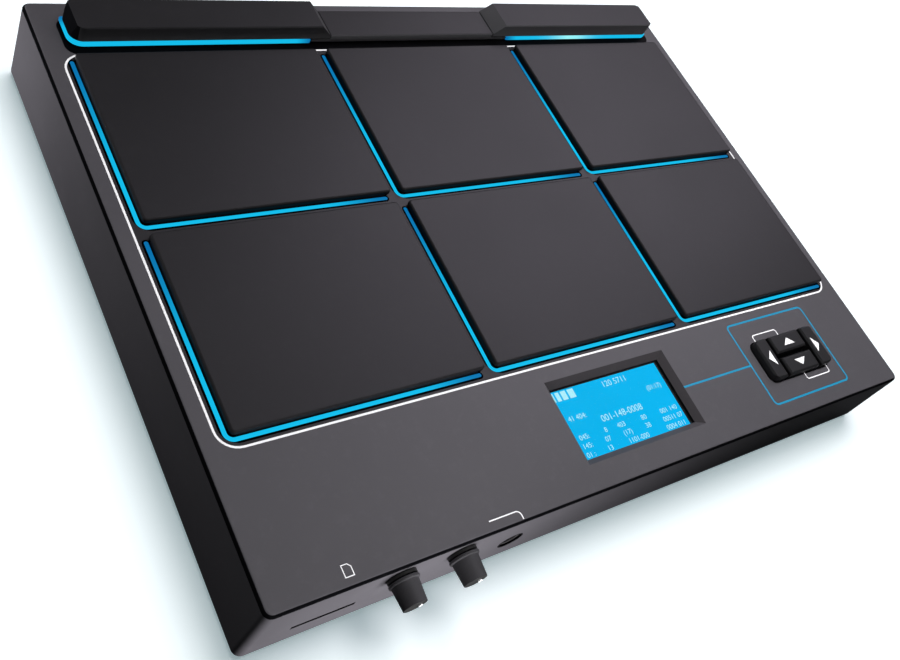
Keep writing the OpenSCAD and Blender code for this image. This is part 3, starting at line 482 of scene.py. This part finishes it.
def finish(name):
    """A moulded finish: colour, roughness, grain per metre, depth of the grain in mm, specular level and dust."""
    case, pads, controls = look("case"), look("pads"), look("controls")
    finishes = {
        # Painted shade: the darkest finish stands for shadow.
        "black_plastic": (case.black, 0.6, 2600, 0.03, 0.12, 0.1),
        # Painted shade: the far slopes round the screen.
        "slope_plastic": (case.slope, 0.55, 2600, 0.03, 0.2),
        "cover_plastic": (case.cover, 0.6, 1800, 0.06, 0.3),
        "pad_rubber": (pads.rubber, 0.36, 3400, 0.012, 0.5, 0.15),
        "strip_rubber": (pads.strip, 0.36, 3000, 0.012, 0.5, 0.15),
        # Painted light: the rear bar's sloped ends and front faces.
        "slope_rubber": (pads.strip_slope, 0.4, 3000, 0.012, 0.5, 0.15),
        "button_rubber": (controls.button, 0.36, 3000, 0.012, 0.5, 0.1),
        "knob_plastic": (controls.knob, 0.45, 2600, 0.03, 0.35),
        "socket_plastic": ((0.012, 0.012, 0.012), 0.4, 2200, 0.02, 0.4),
        "collar_plastic": ((0.028, 0.027, 0.028), 0.45, 2200, 0.02, 0.35),
        "board": ((0.02, 0.12, 0.05), 0.4, 800, 0.02, 0.4),
        "foam": ((0.02, 0.02, 0.02), 0.9, 700, 0.3, 0.1),
        "silicone": ((0.35, 0.35, 0.36), 0.5, 900, 0.02, 0.4),
        "foot_rubber": ((0.012, 0.012, 0.012), 0.75, 900, 0.08, 0.2),
    }
    return moulded(name, *finishes[name])


def ink(name):
    """Printed line: slightly uneven ink, white or blue."""
    if made(name):
        return made(name)
    base = getattr(look("case"), name)
    material, tree, shader = new_material(name)
    texture = grain_in(tree, Grain=2600.0, Patch=300.0)
    put(shader, {"Base Color": mix_colours(tree, texture["Patches"], tinted(base, 0.86), base), "Roughness": 0.45})
    return material


def camera_ray(tree):
    return add(tree, "LightPath").outputs["Is Camera Ray"]


def shine(tree):
    """Full light where the camera sees it, and little on the pieces near by."""
    return map_range(tree, camera_ray(tree), 0.15, 1.0)


@once
def light_guide():
    """Clear plastic lit from below: bright at the bend, dimmer towards its ends and palest over a lamp."""
    glow = look("glow")
    material, tree, shader = new_material("light_guide")
    texture = grain_in(tree, Grain=900.0, Patch=220.0)
    reach, lamp = (add(tree, "Attribute", attribute_name=name).outputs["Fac"] for name in ("glow", "lamp"))
    lit = mix_colours(tree, lamp, mix_colours(tree, reach, glow.dim, glow.bright), glow.spot)
    put(shader, {"Emission Color": lit, "Emission Strength": shine(tree), "Roughness": 0.5,
                 "Base Color": mix_colours(tree, texture["Patches"], (0.0, 0.01, 0.02), (0.0, 0.02, 0.035)),
                 "Specular IOR Level": 0.1})
    return material


@once
def screen_light():
    """Lit screen with a faint grid of dots and an uneven back light."""
    base = look("glow").screen
    material, tree, shader = new_material("screen_light")
    dots = add(tree, "TexChecker", {"Vector": place_in(tree), "Scale": 1900.0}).outputs["Fac"]
    texture = grain_in(tree, Patch=26.0)
    uneven = mix_colours(tree, texture["Patches"], tinted(base, 0.9), tinted(base, 1.08))
    gridded = mix_colours(tree, math_node(tree, "MULTIPLY", dots, 0.06), uneven, (0.0, 0.2, 0.5))
    put(shader, {"Emission Color": gridded, "Emission Strength": shine(tree), "Base Color": (0.0, 0.02, 0.05),
                 "Roughness": 0.6, "Specular IOR Level": 0.05})
    return material


@once
def screen_marks():
    """Pale dots of the screen, lit from behind."""
    base = look("glow").marks
    material, tree, shader = new_material("screen_marks")
    texture = grain_in(tree, Patch=500.0)
    put(shader, {"Emission Color": mix_colours(tree, texture["Patches"], tinted(base, 0.85), base),
                 "Emission Strength": 1.0, "Base Color": (0.02, 0.05, 0.06)})
    return material


@once
def clear_window():
    """Clear screen window with the faintest dust."""
    material, tree, shader = new_material("clear_window")
    specks = dust_in(tree, Scale=260.0, Amount=0.08)["Mask"]
    put(shader, {"Roughness": map_range(tree, specks, 0.15, 0.4), "Alpha": map_range(tree, specks, 0.015, 0.1),
                 "Base Color": (0.05, 0.06, 0.07)})
    return material


def slot_material(slot):
    """The finish of a record's material slot."""
    makers = {"case_plastic": case_plastic, "light_guide": light_guide, "window_clear": clear_window,
              "display": screen_light}
    metals = {"steel": ((0.55, 0.55, 0.57), 0.32), "brass": ((0.72, 0.50, 0.20), 0.3)}
    if slot in makers:
        return makers[slot]()
    if slot in metals:
        return metal(slot, *metals[slot])
    return finish("strip_rubber" if slot in ("bar_rubber", "bar_plastic") else slot)


def bent_strip(name, right_end, bend, back_end, width, low, high, side):
    """An L-shaped strip: a section is drawn along the front, turned round the bend and drawn along the side.

    right_end is the x and back_end the y of the legs' free ends, and bend has the bend's middle and radius.
    side is 1 when the side leg stands at -x of the bend and -1 when it stands at +x.
    """
    leg_steps, bend_steps, half = 14, 10, width / 2
    centre, radius = bend
    deselect()
    bpy.ops.mesh.primitive_plane_add(size=1, location=(right_end, centre.y - radius, (low + high) / 2),
                                     rotation=(0, math.pi / 2, 0))
    piece = placed(name, (high - low, width, 1))
    edit_all(piece)

    def draw_leg(x, y):
        for _ in range(leg_steps):
            bpy.ops.mesh.extrude_region_move(TRANSFORM_OT_translate={"value": (x / leg_steps, y / leg_steps, 0)})

    draw_leg(centre.x - right_end, 0)
    bpy.ops.mesh.spin(steps=bend_steps, angle=side * math.pi / 2, center=(centre.x, centre.y, low), axis=(0, 0, 1))
    draw_leg(0, back_end - centre.y)
    bpy.ops.mesh.select_all(action="SELECT")
    bpy.ops.mesh.remove_doubles(threshold=0.001 * MM)
    bpy.ops.mesh.normals_make_consistent(inside=False)
    for axis, end in ((0, right_end), (1, back_end)):
        def at_end(points):
            upright = abs(points[0].z - points[1].z) > 0.5 * (high - low)
            return upright and all(abs(p[axis] - end) < SAME for p in points)
        pick(piece, "EDGE", at_end)
        bpy.ops.mesh.bevel(offset=half * 0.96, segments=5, affect="EDGES")
    leave_edit()
    apply_modifier(piece, "BEVEL", width=0.2 * MM, segments=2, limit_method="ANGLE", angle_limit=math.radians(50))
    smooth(piece, 40)
    return piece


def store(piece, name, values):
    """Keeps a value for each point of a piece, for its finish."""
    piece.data.attributes.new(name, "FLOAT", "POINT").data.foreach_set("value", values)


def set_glow(piece, right_end, back_end, fade, side_fade):
    """Stores how bright the strip is at each point: dimmer within the fade lengths of its two ends."""
    values = []
    for point in piece.data.vertices:
        share = min(1.0, abs(right_end - point.co.x) / fade, abs(back_end - point.co.y) / side_fade)
        values.append(share * share * (3 - 2 * share))
    store(piece, "glow", values)


def set_lamp(piece, x, reach):
    """Stores where a lamp shines through the strip."""
    store(piece, "lamp", [math.exp(-((point.co.x - x) / reach) ** 2) for point in piece.data.vertices])


def round_corners(piece, radius, segments):
    """Rounds the corners of a flat sheet."""
    edit_all(piece)
    bpy.ops.mesh.bevel(offset=radius, segments=segments, affect="VERTICES")
    leave_edit()


def hollow(piece, width):
    """Leaves only the rim of a flat sheet."""
    edit_all(piece)
    bpy.ops.mesh.inset(thickness=width)
    bpy.ops.mesh.delete(type="FACE")
    leave_edit()
    return piece


def line_frame(name, low, high, radius, width):
    """A flat printed frame with rounded corners."""
    mid = (low + high) / 2
    piece = start_plane(name, (mid.x, mid.y, PRINT_Z), (high.x - low.x, high.y - low.y))
    round_corners(piece, radius, 8)
    return hollow(piece, width)


def cut_away(piece, point, normal):
    """Keeps the part of a piece behind a plane."""
    edit_all(piece)
    bpy.ops.mesh.bisect(plane_co=point, plane_no=normal, clear_outer=True)
    leave_edit()


def print_piece(piece, material, body="case", slot="case_plastic"):
    """Gives a flat sheet the thickness of ink, its colour and its body."""
    apply_modifier(piece, "SOLIDIFY", thickness=look("case").ink, offset=1.0)
    piece.data.materials.append(material)
    dress(piece, body, slot)


class PercussionOperator(bpy.types.Operator):
    bl_options = {"REGISTER", "UNDO"}


class PERCUSSION_OT_case(PercussionOperator):
    """Builds the moulded case with softened edges"""
    bl_idname = "percussion.case"
    bl_label = "Case"

    def execute(self, context):
        edge = look("case").edge
        shell = refined_copy("top_case", "case_shell", edge)
        paint(shell, (case_plastic(), finish("black_plastic"), finish("slope_plastic")), self.parts())
        dress(shell, "case", "case_plastic", "top_case")
        dress(refined_copy("bottom_cover", "under_cover", edge), "case", "cover_plastic", "bottom_cover")
        dress(refined_copy("feet", "rubber_feet", 0.5 * MM, 3), "case", "foot_rubber", "feet")
        return {"FINISHED"}

    def parts(self):
        """A rule for paint: plain plastic; the darkest colour as painted shade on the edge line, bar seat, recesses
        and wall openings; or a darker colour as painted shade on the screen's far slopes.
        """
        plain, shaded_part, slope = range(3)
        low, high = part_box("top_case")
        screen_low, screen_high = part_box("screen_window")

        def part_of(face):
            spot, normal, steep = face.center, face.normal, face.normal.z
            gaps = [min(spot[i] - low[i], high[i] - spot[i]) for i in (0, 1)]
            rim, in_corner = min(gaps), max(gaps) < 4 * MM
            under = PANEL_Z - spot.z
            by_screen = all(screen_low[i] - 2 * MM < spot[i] < screen_high[i] + 2 * MM for i in (0, 1))
            # Painted shade on the far slopes round the screen.
            if by_screen and 0.2 < steep < 0.97:
                far = max(normal.x, normal.y) <= 0.1
                return slope if far and 0.05 * MM < under < 3.1 * MM else plain
            # Painted shade: the bar's seat, the recesses, the inner faces of the wall openings, and the fillet along
            # the panel's edge, which stands for the shadow gap under that edge.
            bar_seat = under < -0.05 * MM
            recess = rim > 4 * MM and under > 0.15 * MM
            wall_opening = rim > 0.4 * MM and under > 2.5 * MM and not in_corner
            edge_shadow = rim < 1.7 * MM and under < 1.7 * MM and 0.02 < steep < 0.93
            return shaded_part if bar_seat or recess or wall_opening or edge_shadow else plain

        return part_of


class PERCUSSION_OT_bar(PercussionOperator):
    """Builds the rear bar: its middle, two trigger strips and their light guides"""
    bl_idname = "percussion.bar"
    bl_label = "Rear bar"

    def execute(self, context):
        edge = look("pads").strip_edge
        materials = [finish(name) for name in ("strip_rubber", "black_plastic", "slope_rubber")]
        top, end, slope = range(3)
        # Painted shade: the left strip's left end takes the darkest finish. Painted light: the strips' inner sloped
        # ends and the right strip's front faces take a lighter finish.
        rules = {"left": lambda n: end if n.x < -0.5 else slope if n.x > 0.3 else top,
                 "right": lambda n: slope if n.x < -0.3 or n.y < -0.5 else top}
        middle = refined_copy("bar_centre", "bar_middle", edge, 3)
        # Painted light: the middle's front faces take the lighter finish.
        paint(middle, materials, lambda face: slope if face.normal.y < -0.5 else top)
        dress(middle, "case", "bar_plastic", "bar_centre")
        for side, sign in (("left", 1), ("right", -1)):
            strip = refined_copy(f"trigger_bar_{side}", f"strip_{side}", edge, 3)
            paint(strip, materials, lambda face: rules[side](face.normal))
            dress(strip, f"bar_{side}", "bar_rubber", f"trigger_bar_{side}")
            self.guide(side, sign)
        return {"FINISHED"}

    def guide(self, side, sign):
        low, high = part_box(f"bar_guide_{side}")
        width, radius, fade = 2.4 * MM, 4.9 * MM, 7 * MM
        lamp_share, lamp_reach = 0.43, 13 * MM
        outer, inner = (low.x, high.x) if sign > 0 else (high.x, low.x)
        centre = Vector((outer + sign * (width / 2 + radius), low.y + width / 2 + radius, low.z))
        guide = bent_strip(f"strip_light_{side}", inner, (centre, radius), high.y, width, low.z, high.z, sign)
        set_glow(guide, inner, high.y, fade, fade)
        if side == "right":
            set_lamp(guide, inner + lamp_share * (outer - inner), lamp_reach)
        dress(guide, "case", "light_guide", f"bar_guide_{side}")


class PERCUSSION_OT_pads(PercussionOperator):
    """Builds one rubber pad and copies it to its six places"""
    bl_idname = "percussion.pads"
    bl_label = "Pads"

    def execute(self, context):
        pads = look("pads")
        low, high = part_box("pad_1")
        split, inset, overlap = PANEL_Z + 1.0 * MM, Vector((0.1 * MM, 0.1 * MM, 0)), 0.5 * MM
        foot = self.block("pad_foot", low + inset, Vector((*(high - inset).xy, split + overlap)), pads.corner)
        first = self.block("rubber_pad_1", Vector((*low.xy, split)), high, pads.lip_corner)
        pick(first, "EDGE", above(high.z))
        bpy.ops.mesh.bevel(offset=pads.edge, segments=5, affect="EDGES")
        leave_edit()
        apply_modifier(first, "BOOLEAN", operation="UNION", object=foot)
        bpy.data.objects.remove(foot, do_unlink=True)
        smooth(first, 40)
        for node, piece in zip(PADS, copies(first, "rubber_pad", PADS)):
            dress(piece, node, "pad_rubber", node)
        return {"FINISHED"}

    def block(self, name, low, high, corner):
        """A block with rounded upright corners."""
        piece = start_box(name, low, high)
        pick(piece, "EDGE", lambda points: abs(points[0].z - points[1].z) > (high.z - low.z) / 2)
        bpy.ops.mesh.bevel(offset=corner, segments=10, affect="EDGES")
        leave_edit()
        return piece


class PERCUSSION_OT_lights(PercussionOperator):
    """Builds one light guide and copies it to the six pads"""
    bl_idname = "percussion.lights"
    bl_label = "Pad lights"

    def execute(self, context):
        glow = look("glow")
        low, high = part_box("pad_guide_1")
        width, radius, bend = 1.9 * MM, 3.3 * MM, 4.75 * MM
        centre = Vector((low.x + bend, low.y + bend, low.z))
        first = bent_strip("pad_light_1", high.x, (centre, radius), high.y, width, low.z, high.z, 1)
        set_glow(first, high.x, high.y, glow.fade, glow.side_fade)
        # Painted shade: only the top faces glow, and the sides take the darkest finish, standing for the shadow in
        # the groove beside each guide.
        paint(first, (light_guide(), finish("black_plastic")), lambda face: 0 if face.normal.z > 0.6 else 1)
        for node, piece in zip(GUIDES, copies(first, "pad_light", GUIDES)):
            dress(piece, "case", "light_guide", node)
        return {"FINISHED"}


class PERCUSSION_OT_screen(PercussionOperator):
    """Builds the lit screen with a dark border, plain numbers and bars"""
    bl_idname = "percussion.screen"
    bl_label = "Screen"

    def execute(self, context):
        gap, border, lit = 0.06 * MM, 1 * MM, (67.6 * MM, 34.0 * MM)
        low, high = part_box("screen_module")
        high.z -= gap
        piece = start_box("lit_screen", low, high)
        pick(piece, "FACE", above(high.z))
        bpy.ops.mesh.inset(thickness=border)
        share = [lit[i] / (high[i] - low[i] - 2 * border) for i in (0, 1)]
        bpy.ops.transform.resize(value=(*share, 1), center_override=(low + high) / 2)
        bpy.ops.transform.translate(value=(-0.7 * MM, -0.3 * MM, 0))
        leave_edit()
        lit_face = max((f for f in piece.data.polygons if f.normal.z > 0.9), key=lambda f: f.area).index
        paint(piece, (finish("socket_plastic"), screen_light()), lambda face: 1 if face.index == lit_face else 0)
        dress(piece, "case", "display", "screen_module")
        self.marks(high.z + gap / 3)
        return {"FINISHED"}

    def marks(self, z):
        """Rows of plain numbers and short bars, in shares of the lit area."""
        mid = middle_of("screen_window")
        size = Vector((69 * MM, 34.6 * MM))
        rows = [
            (0.39, 4.2, [(0.06, "120 5711")]),
            (0.16, 3.4, [(0.36, "(01:17)")]),
            (0.07, 3.6, [(-0.38, "41 404:")]),
            (-0.05, 4.6, [(-0.02, "001-148-0008")]),
            (-0.20, 3.4, [(-0.41, "045:"), (-0.22, "8"), (-0.08, "403"), (0.13, "80"), (0.37, "001 140")]),
            (-0.32, 3.4, [(-0.42, "145:"), (-0.24, "07"), (-0.06, "(17)"), (0.13, "38"), (0.37, "00511 07")]),
            (-0.44, 3.4, [(-0.43, "01 :"), (-0.26, "13"), (0.0, "1101-000"), (0.36, "0004 011")]),
        ]
        bars = ((-6.4, 1.6), (-3.4, 2.2), (0.2, 3.0), (4.6, 3.6))
        parts = []
        for share_y, tall, marks in rows:
            for share_x, digits in marks:
                deselect()
                bpy.ops.object.text_add(location=(mid.x + share_x * size.x, mid.y + share_y * size.y, z))
                text = bpy.context.object.data
                text.body = digits
                text.size = tall * MM
                text.align_x = text.align_y = "CENTER"
                bpy.ops.object.convert(target="MESH")
                parts.append(placed("marks_row"))
        for shift, wide in bars:
            place = (mid.x - 0.39 * size.x + shift * MM, mid.y + 0.40 * size.y, z)
            block = start_plane("marks_block", place, (wide * MM, 4.4 * MM))
            parts.append(block)
        deselect()
        for part in parts:
            part.select_set(True)
        bpy.context.view_layer.objects.active = block
        bpy.ops.object.join()
        block.name = "screen_numbers"
        block.data.materials.append(screen_marks())
        dress(block, "case", "display")


class PERCUSSION_OT_buttons(PercussionOperator):
    """Builds the four arrow buttons, their printed arrows and the domes under them"""
    bl_idname = "percussion.buttons"
    bl_label = "Buttons"

    def execute(self, context):
        for node, turn in ARROWS.items():
            cap = refined_copy(node, "button_" + node, look("controls").button_edge, 3)
            dress(cap, node, "button_rubber", node)
            self.arrow(node, math.radians(turn))
        self.domes()
        return {"FINISHED"}

    def arrow(self, node, turn):
        """A printed triangle that points away from the middle of the four buttons."""
        back, size = 0.65 * MM, (5.0 * MM, 2.55 * MM, 1)
        mid = middle_of(node) + back * Vector((math.sin(turn), -math.cos(turn), 0))
        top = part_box(node)[1].z + 0.005 * MM
        deselect()
        bpy.ops.mesh.primitive_circle_add(vertices=3, radius=1, fill_type="NGON", location=(mid.x, mid.y, top),
                                          rotation=(0, 0, turn))
        print_piece(placed("arrow_" + node, size), ink("white_ink"), node, "button_rubber")

    def domes(self):
        """Parts the silicone domes into one piece under each button, each with a mesh of its own."""
        activate(refined_copy("nav_domes", "dome", 0.15 * MM))
        bpy.ops.mesh.separate(type="LOOSE")
        for dome in list(bpy.context.selected_objects):
            points = [v.co for v in dome.data.vertices]
            middle = sum(points, Vector()) / len(points)
            node = min(ARROWS, key=lambda name: (middle_of(name) - middle).xy.length)
            dome.name = "dome_" + node
            dress(dome, "case", "silicone", "nav_domes")
            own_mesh(dome)


class PERCUSSION_OT_knobs(PercussionOperator):
    """Builds the two volume knobs with their white pointers, and the collar nuts behind them"""
    bl_idname = "percussion.knobs"
    bl_label = "Knobs"

    def execute(self, context):
        for node in ("main_knob", "phones_knob"):
            self.knob(node)
            self.pointer(node)
        dress(refined_copy("pot_nuts", "collar_nuts", 0.3 * MM), "case", "socket_plastic", "pot_nuts")
        return {"FINISHED"}

    def knob(self, node):
        """A tapered grip on a flange, with a recessed tip."""
        low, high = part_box(node)
        mid = middle_of(node)
        flange_r, base_r, tip_r = 6.25 * MM, 5.5 * MM, 4.9 * MM
        flange, tip_rim, tip_depth = 1.3 * MM, 1.1 * MM, 0.6 * MM
        taper = tip_r / base_r
        deselect()
        bpy.ops.mesh.primitive_cylinder_add(vertices=look("controls").knob_sides, radius=flange_r, depth=flange,
                                            location=(mid.x, high.y - flange / 2, mid.z),
                                            rotation=(math.pi / 2, 0, 0))
        piece = placed("grip_" + node)
        pick(piece, "FACE", lambda points: all(p.y < high.y - flange + SAME for p in points))
        bpy.ops.mesh.inset(thickness=flange_r - base_r)
        bpy.ops.mesh.extrude_region_move(TRANSFORM_OT_translate={"value": (0, low.y - (high.y - flange), 0)})
        bpy.ops.transform.resize(value=(taper, 1, taper), center_override=(mid.x, low.y, mid.z))
        bpy.ops.mesh.inset(thickness=tip_rim)
        bpy.ops.transform.translate(value=(0, tip_depth, 0))
        leave_edit()
        apply_modifier(piece, "BEVEL", width=0.42 * MM, segments=3, limit_method="ANGLE",
                       angle_limit=math.radians(40))
        # Painted shade: the tip's front faces take the darker socket finish, kept dark though the front lamp lights
        # them.
        paint(piece, (finish("knob_plastic"), finish("socket_plastic")),
              lambda face: 1 if face.normal.y < -0.7 and face.center.y < low.y + 1.0 * MM else 0)
        smooth(piece, 40)
        dress(piece, node, "knob_plastic", node)

    def pointer(self, node):
        """A white tick at the rim of the tip, turned to the right as in use."""
        mid, tip = middle_of(node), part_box(node)[0].y
        turn, reach, depth = math.radians(121), 3.7 * MM, 0.32 * MM
        size = (1.6 * MM, 0.56 * MM, 1.0 * MM)
        place = (mid.x + reach * math.sin(turn), tip + depth, mid.z + reach * math.cos(turn))
        deselect()
        bpy.ops.mesh.primitive_cube_add(size=1, location=place, rotation=(0, turn, 0), scale=size)
        piece = placed("pointer_" + node)
        apply_modifier(piece, "BEVEL", width=0.08 * MM, segments=2)
        smooth(piece)
        piece.data.materials.append(ink("white_ink"))
        dress(piece, node, "knob_plastic")


class PERCUSSION_OT_prints(PercussionOperator):
    """Prints the lines on the panel: outline, button frame, brackets and small signs; and paints shade round the
    foot of the rear bar and round the headphone hole
    """
    bl_idname = "percussion.prints"
    bl_label = "Printed lines"

    def execute(self, context):
        white, blue, black = ink("white_ink"), ink("blue_ink"), finish("black_plastic")
        outline = line_frame("pads_outline", *pads_field(), 9 * MM, look("case").line)
        print_piece(outline, white)
        self.button_lines(white, blue)
        self.small_signs(white)
        self.bar_band(black)
        self.phones_rim(black)
        return {"FINISHED"}

    def button_lines(self, white, blue):
        """A blue frame round the buttons with a link to the screen, and two white brackets."""
        low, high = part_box("nav_left")[0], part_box("nav_right")[1]
        wide, more_behind, blue_width = Vector((6.9 * MM, 10.6 * MM, 0)), Vector((0, 1.8 * MM, 0)), 1.0 * MM
        frame_low, frame_high = low - wide, high + wide + more_behind
        print_piece(line_frame("button_frame", frame_low, frame_high, 3.0 * MM, blue_width), blue)
        start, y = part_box("screen_window")[1].x, middle_of("screen_window").y - 0.7 * MM
        link = start_plane("button_link", ((start + frame_low.x) / 2, y, PRINT_Z), (frame_low.x - start, blue_width))
        print_piece(link, blue)
        mid = (low + high) / 2
        reach, spare = 9.8 * MM, 3 * MM
        spots = (("bracket_back", mid.x - 8.0 * MM, high.y - 0.8 * MM, 1, 4.6 * MM),
                 ("bracket_front", mid.x + 11.6 * MM, low.y + 0.8 * MM, -1, 4.0 * MM))
        for name, x, y, sign, lift in spots:
            near, far = sorted((y - sign * spare, y + sign * lift))
            ring = line_frame(name, Vector((x - reach, near, 0)), Vector((x + reach, far, 0)), 1.6 * MM, 0.55 * MM)
            cut_away(ring, (x, y, PRINT_Z), (0, -sign, 0))
            print_piece(ring, white)

    def small_signs(self, white):
        """A card with a cut corner over the slot, and a bent line over the headphone hole."""
        size, cut = Vector((3.9 * MM, 4.9 * MM, 0)), Vector((1.3 * MM, 0, 0))
        corner = Vector((middle_of("card_socket").x + 1.0 * MM, FRONT_WALL + 3.9 * MM, PRINT_Z)) + size
        card = start_plane("card_sign", corner - size / 2, size)
        cut_away(card, corner - cut, (1, 1, 0))
        print_piece(hollow(card, 0.36 * MM), white)
        jack_x = middle_of("phones_jack").x
        ring = line_frame("phones_line", Vector((jack_x - 40 * MM, FRONT_WALL - 20 * MM, 0)),
                          Vector((jack_x - 5.5 * MM, FRONT_WALL + 5.2 * MM, 0)), 2.4 * MM, 0.5 * MM)
        cut_away(ring, (0, FRONT_WALL + 1.2 * MM, PRINT_Z), (0, -1, 0))
        cut_away(ring, (jack_x - 21 * MM, 0, PRINT_Z), (-1, 0, 0))
        print_piece(ring, white)

    def bar_band(self, black):
        """Painted shadow: a sheet of the darkest colour on the panel round the foot of the rear bar, where the bar
        shades it.
        """
        low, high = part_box("trigger_bar_left")[0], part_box("trigger_bar_right")[1]
        front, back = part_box("pad_3")[1].y + 2.0 * MM, high.y - 0.5 * MM
        shadow_sheet = start_plane("bar_ground", ((low.x + high.x) / 2, (front + back) / 2, PRINT_Z),
                           (high.x - low.x + 4 * MM, back - front))
        round_corners(shadow_sheet, 5 * MM, 6)
        print_piece(shadow_sheet, black)

    def phones_rim(self, black):
        """Painted shade: a thin ring of the darkest colour on the front wall, round the headphone hole."""
        mount = next(m for m in frame["record"]["mounts"] if m["name"] == "phones_socket")
        x, _, z = mount["pos_m"]
        hole_r, width, lift = 5.2 * MM, 0.7 * MM, 0.02 * MM
        deselect()
        bpy.ops.mesh.primitive_circle_add(vertices=64, radius=hole_r + width, fill_type="NGON",
                                          location=(x, FRONT_WALL - lift, z), rotation=(math.pi / 2, 0, 0))
        print_piece(hollow(placed("phones_rim"), width), black)


class PERCUSSION_OT_finishes(PercussionOperator):
    """Gives every CAD node that stays its own finish"""
    bl_idname = "percussion.finishes"
    bl_label = "Finishes"

    def execute(self, context):
        for entry in frame["record"]["subparts"]:
            name = entry["node"]
            if name in REPLACED:
                continue
            material = finish("collar_plastic") if name == "phones_jack" else slot_material(entry["material_slot"])
            for place in frame["nodes"][name].material_slots:
                place.link = "OBJECT"
                place.material = material
        return {"FINISHED"}


class PERCUSSION_OT_stage(PercussionOperator):
    """Sets the floor, the light and the camera"""
    bl_idname = "percussion.stage"
    bl_label = "Stage"

    def execute(self, context):
        unlit = bpy.data.collections.new("unlit_by_fill")
        unlit.objects.link(self.floor())
        unlit.collection_objects[0].light_linking.link_state = "EXCLUDE"
        self.sky()
        stage = look("stage")
        self.lamp("key", (0.16, 0.25, 1.70), (0, 0, 0.04), 1.0, stage.key)
        sheen = self.lamp("sheen", (1.266, 0.822, 1.312), (0, 0, 0.04), 1.0, stage.sheen, mirrored=True)
        sheen.data.color = (1.0, 0.92, 1.08)
        fills = (("side", (-0.33, 0.20, 0.03), (-0.19, 0.18, 0.02), 0.06, stage.side),
                 ("front", (-0.11, -0.27, 0.03), (-0.19, -0.14, 0.02), 0.06, stage.front),
                 ("back", (0.0, 0.42, 0.03), (0.0, 0.14, 0.02), 0.2, stage.far),
                 ("right", (0.46, 0.0, 0.03), (0.19, 0.0, 0.02), 0.2, stage.far),
                 ("panel", (0.12, -0.10, 0.36), (0.12, -0.10, 0.04), 0.15, stage.panel))
        for fill in fills:
            self.lamp(*fill).light_linking.receiver_collection = unlit
        under = self.lamp("under", (0, 0, -0.45), (0, 0, 0), 0.2, stage.under).light_linking
        under.receiver_collection = under.blocker_collection = unlit
        self.camera()
        context.scene.view_settings.view_transform = "Standard"
        return {"FINISHED"}

    def floor(self):
        """A pale floor that the camera sees from above only, with faintly lit shadows."""
        stage, shadow_tint = look("stage"), (0.74, 0.95, 1.0)
        deselect()
        bpy.ops.mesh.primitive_plane_add(size=12)
        floor = bpy.context.object
        floor.name = "floor"
        material, tree, shader = new_material("floor")
        seen = camera_ray(tree)
        from_below = add(tree, "NewGeometry").outputs["Backfacing"]
        put(shader, {"Base Color": mix_colours(tree, seen, stage.bounce, stage.floor),
                     "Emission Color": shadow_tint,
                     "Emission Strength": math_node(tree, "MULTIPLY", seen, stage.lift),
                     "Roughness": 0.9, "Specular IOR Level": 0.1,
                     "Alpha": math_node(tree, "SUBTRACT", 1, from_below)})
        floor.data.materials.append(material)
        return floor

    def sky(self):
        """Even light all round, white where the camera sees it."""
        world = bpy.data.worlds.new("studio")
        world.use_nodes = True
        tree = world.node_tree
        strength = math_node(tree, "MAXIMUM", camera_ray(tree), look("stage").sky)
        put(tree.nodes["Background"], {"Strength": strength, "Color": (1.0, 1.0, 1.0)})
        bpy.context.scene.world = world

    def lamp(self, name, place, target, size, power, mirrored=False):
        """A square soft light aimed at a point, seen in glossy surfaces or not."""
        deselect()
        aim = (Vector(target) - Vector(place)).to_track_quat("-Z", "Y").to_euler()
        bpy.ops.object.light_add(type="AREA", location=place, rotation=aim)
        light = bpy.context.object
        light.name = name + "_light"
        light.data.size = size
        light.data.energy = power
        light.visible_camera = False
        light.visible_glossy = mirrored
        return light

    def camera(self):
        """The camera that was fitted to the photo: its place and its three axes."""
        stage, place = look("stage"), (-0.32777, -0.20884, 0.37776)
        right = Vector((0.7761113, -0.4521895, 0.4395178))
        up = Vector((0.1442172, 0.8057954, 0.5743651))
        back = Vector((-0.6138833, -0.3823852, 0.6906004))
        data = bpy.data.cameras.new("camera")
        data.sensor_fit = "HORIZONTAL"
        data.sensor_width = 36
        data.lens, data.shift_x, data.shift_y = stage.lens, stage.shift_x, stage.shift_y
        data.clip_start = 0.01
        camera = bpy.data.objects.new("camera", data)
        bpy.context.scene.collection.objects.link(camera)
        turn = Matrix((right, up, back)).transposed().to_4x4()
        camera.matrix_world = Matrix.Translation(place) @ turn
        bpy.context.scene.camera = camera


STEPS = [PERCUSSION_OT_case, PERCUSSION_OT_bar, PERCUSSION_OT_pads, PERCUSSION_OT_lights, PERCUSSION_OT_screen,
         PERCUSSION_OT_buttons, PERCUSSION_OT_knobs, PERCUSSION_OT_prints, PERCUSSION_OT_finishes,
         PERCUSSION_OT_stage]
LOOKS = {"case": CaseLook, "pads": PadLook, "glow": GlowLook, "controls": ControlLook, "stage": StageLook}


class PERCUSSION_PT_panel(bpy.types.Panel):
    """Lists the steps and their values"""
    bl_idname = "PERCUSSION_PT_panel"
    bl_label = "Percussion Pad"
    bl_space_type = "VIEW_3D"
    bl_region_type = "UI"
    bl_category = "Percussion Pad"

    def draw(self, context):
        for step in STEPS:
            self.layout.operator(step.bl_idname)
        for name in LOOKS:
            group = look(name)
            column = self.layout.column(heading=name.title())
            for key in group.__annotations__:
                column.prop(group, key)


def register():
    for name, kind in LOOKS.items():
        bpy.utils.register_class(kind)
        setattr(bpy.types.Scene, "percussion_" + name, PointerProperty(type=kind))
    for kind in (*STEPS, PERCUSSION_PT_panel):
        bpy.utils.register_class(kind)


def unregister():
    for kind in (*STEPS, PERCUSSION_PT_panel):
        bpy.utils.unregister_class(kind)
    for name, kind in LOOKS.items():
        delattr(bpy.types.Scene, "percussion_" + name)
        bpy.utils.unregister_class(kind)


def main():
    register()
    for step in STEPS:
        group, name = step.bl_idname.split(".")
        getattr(getattr(bpy.ops, group), name)()


if __name__ == "__main__":
    main()
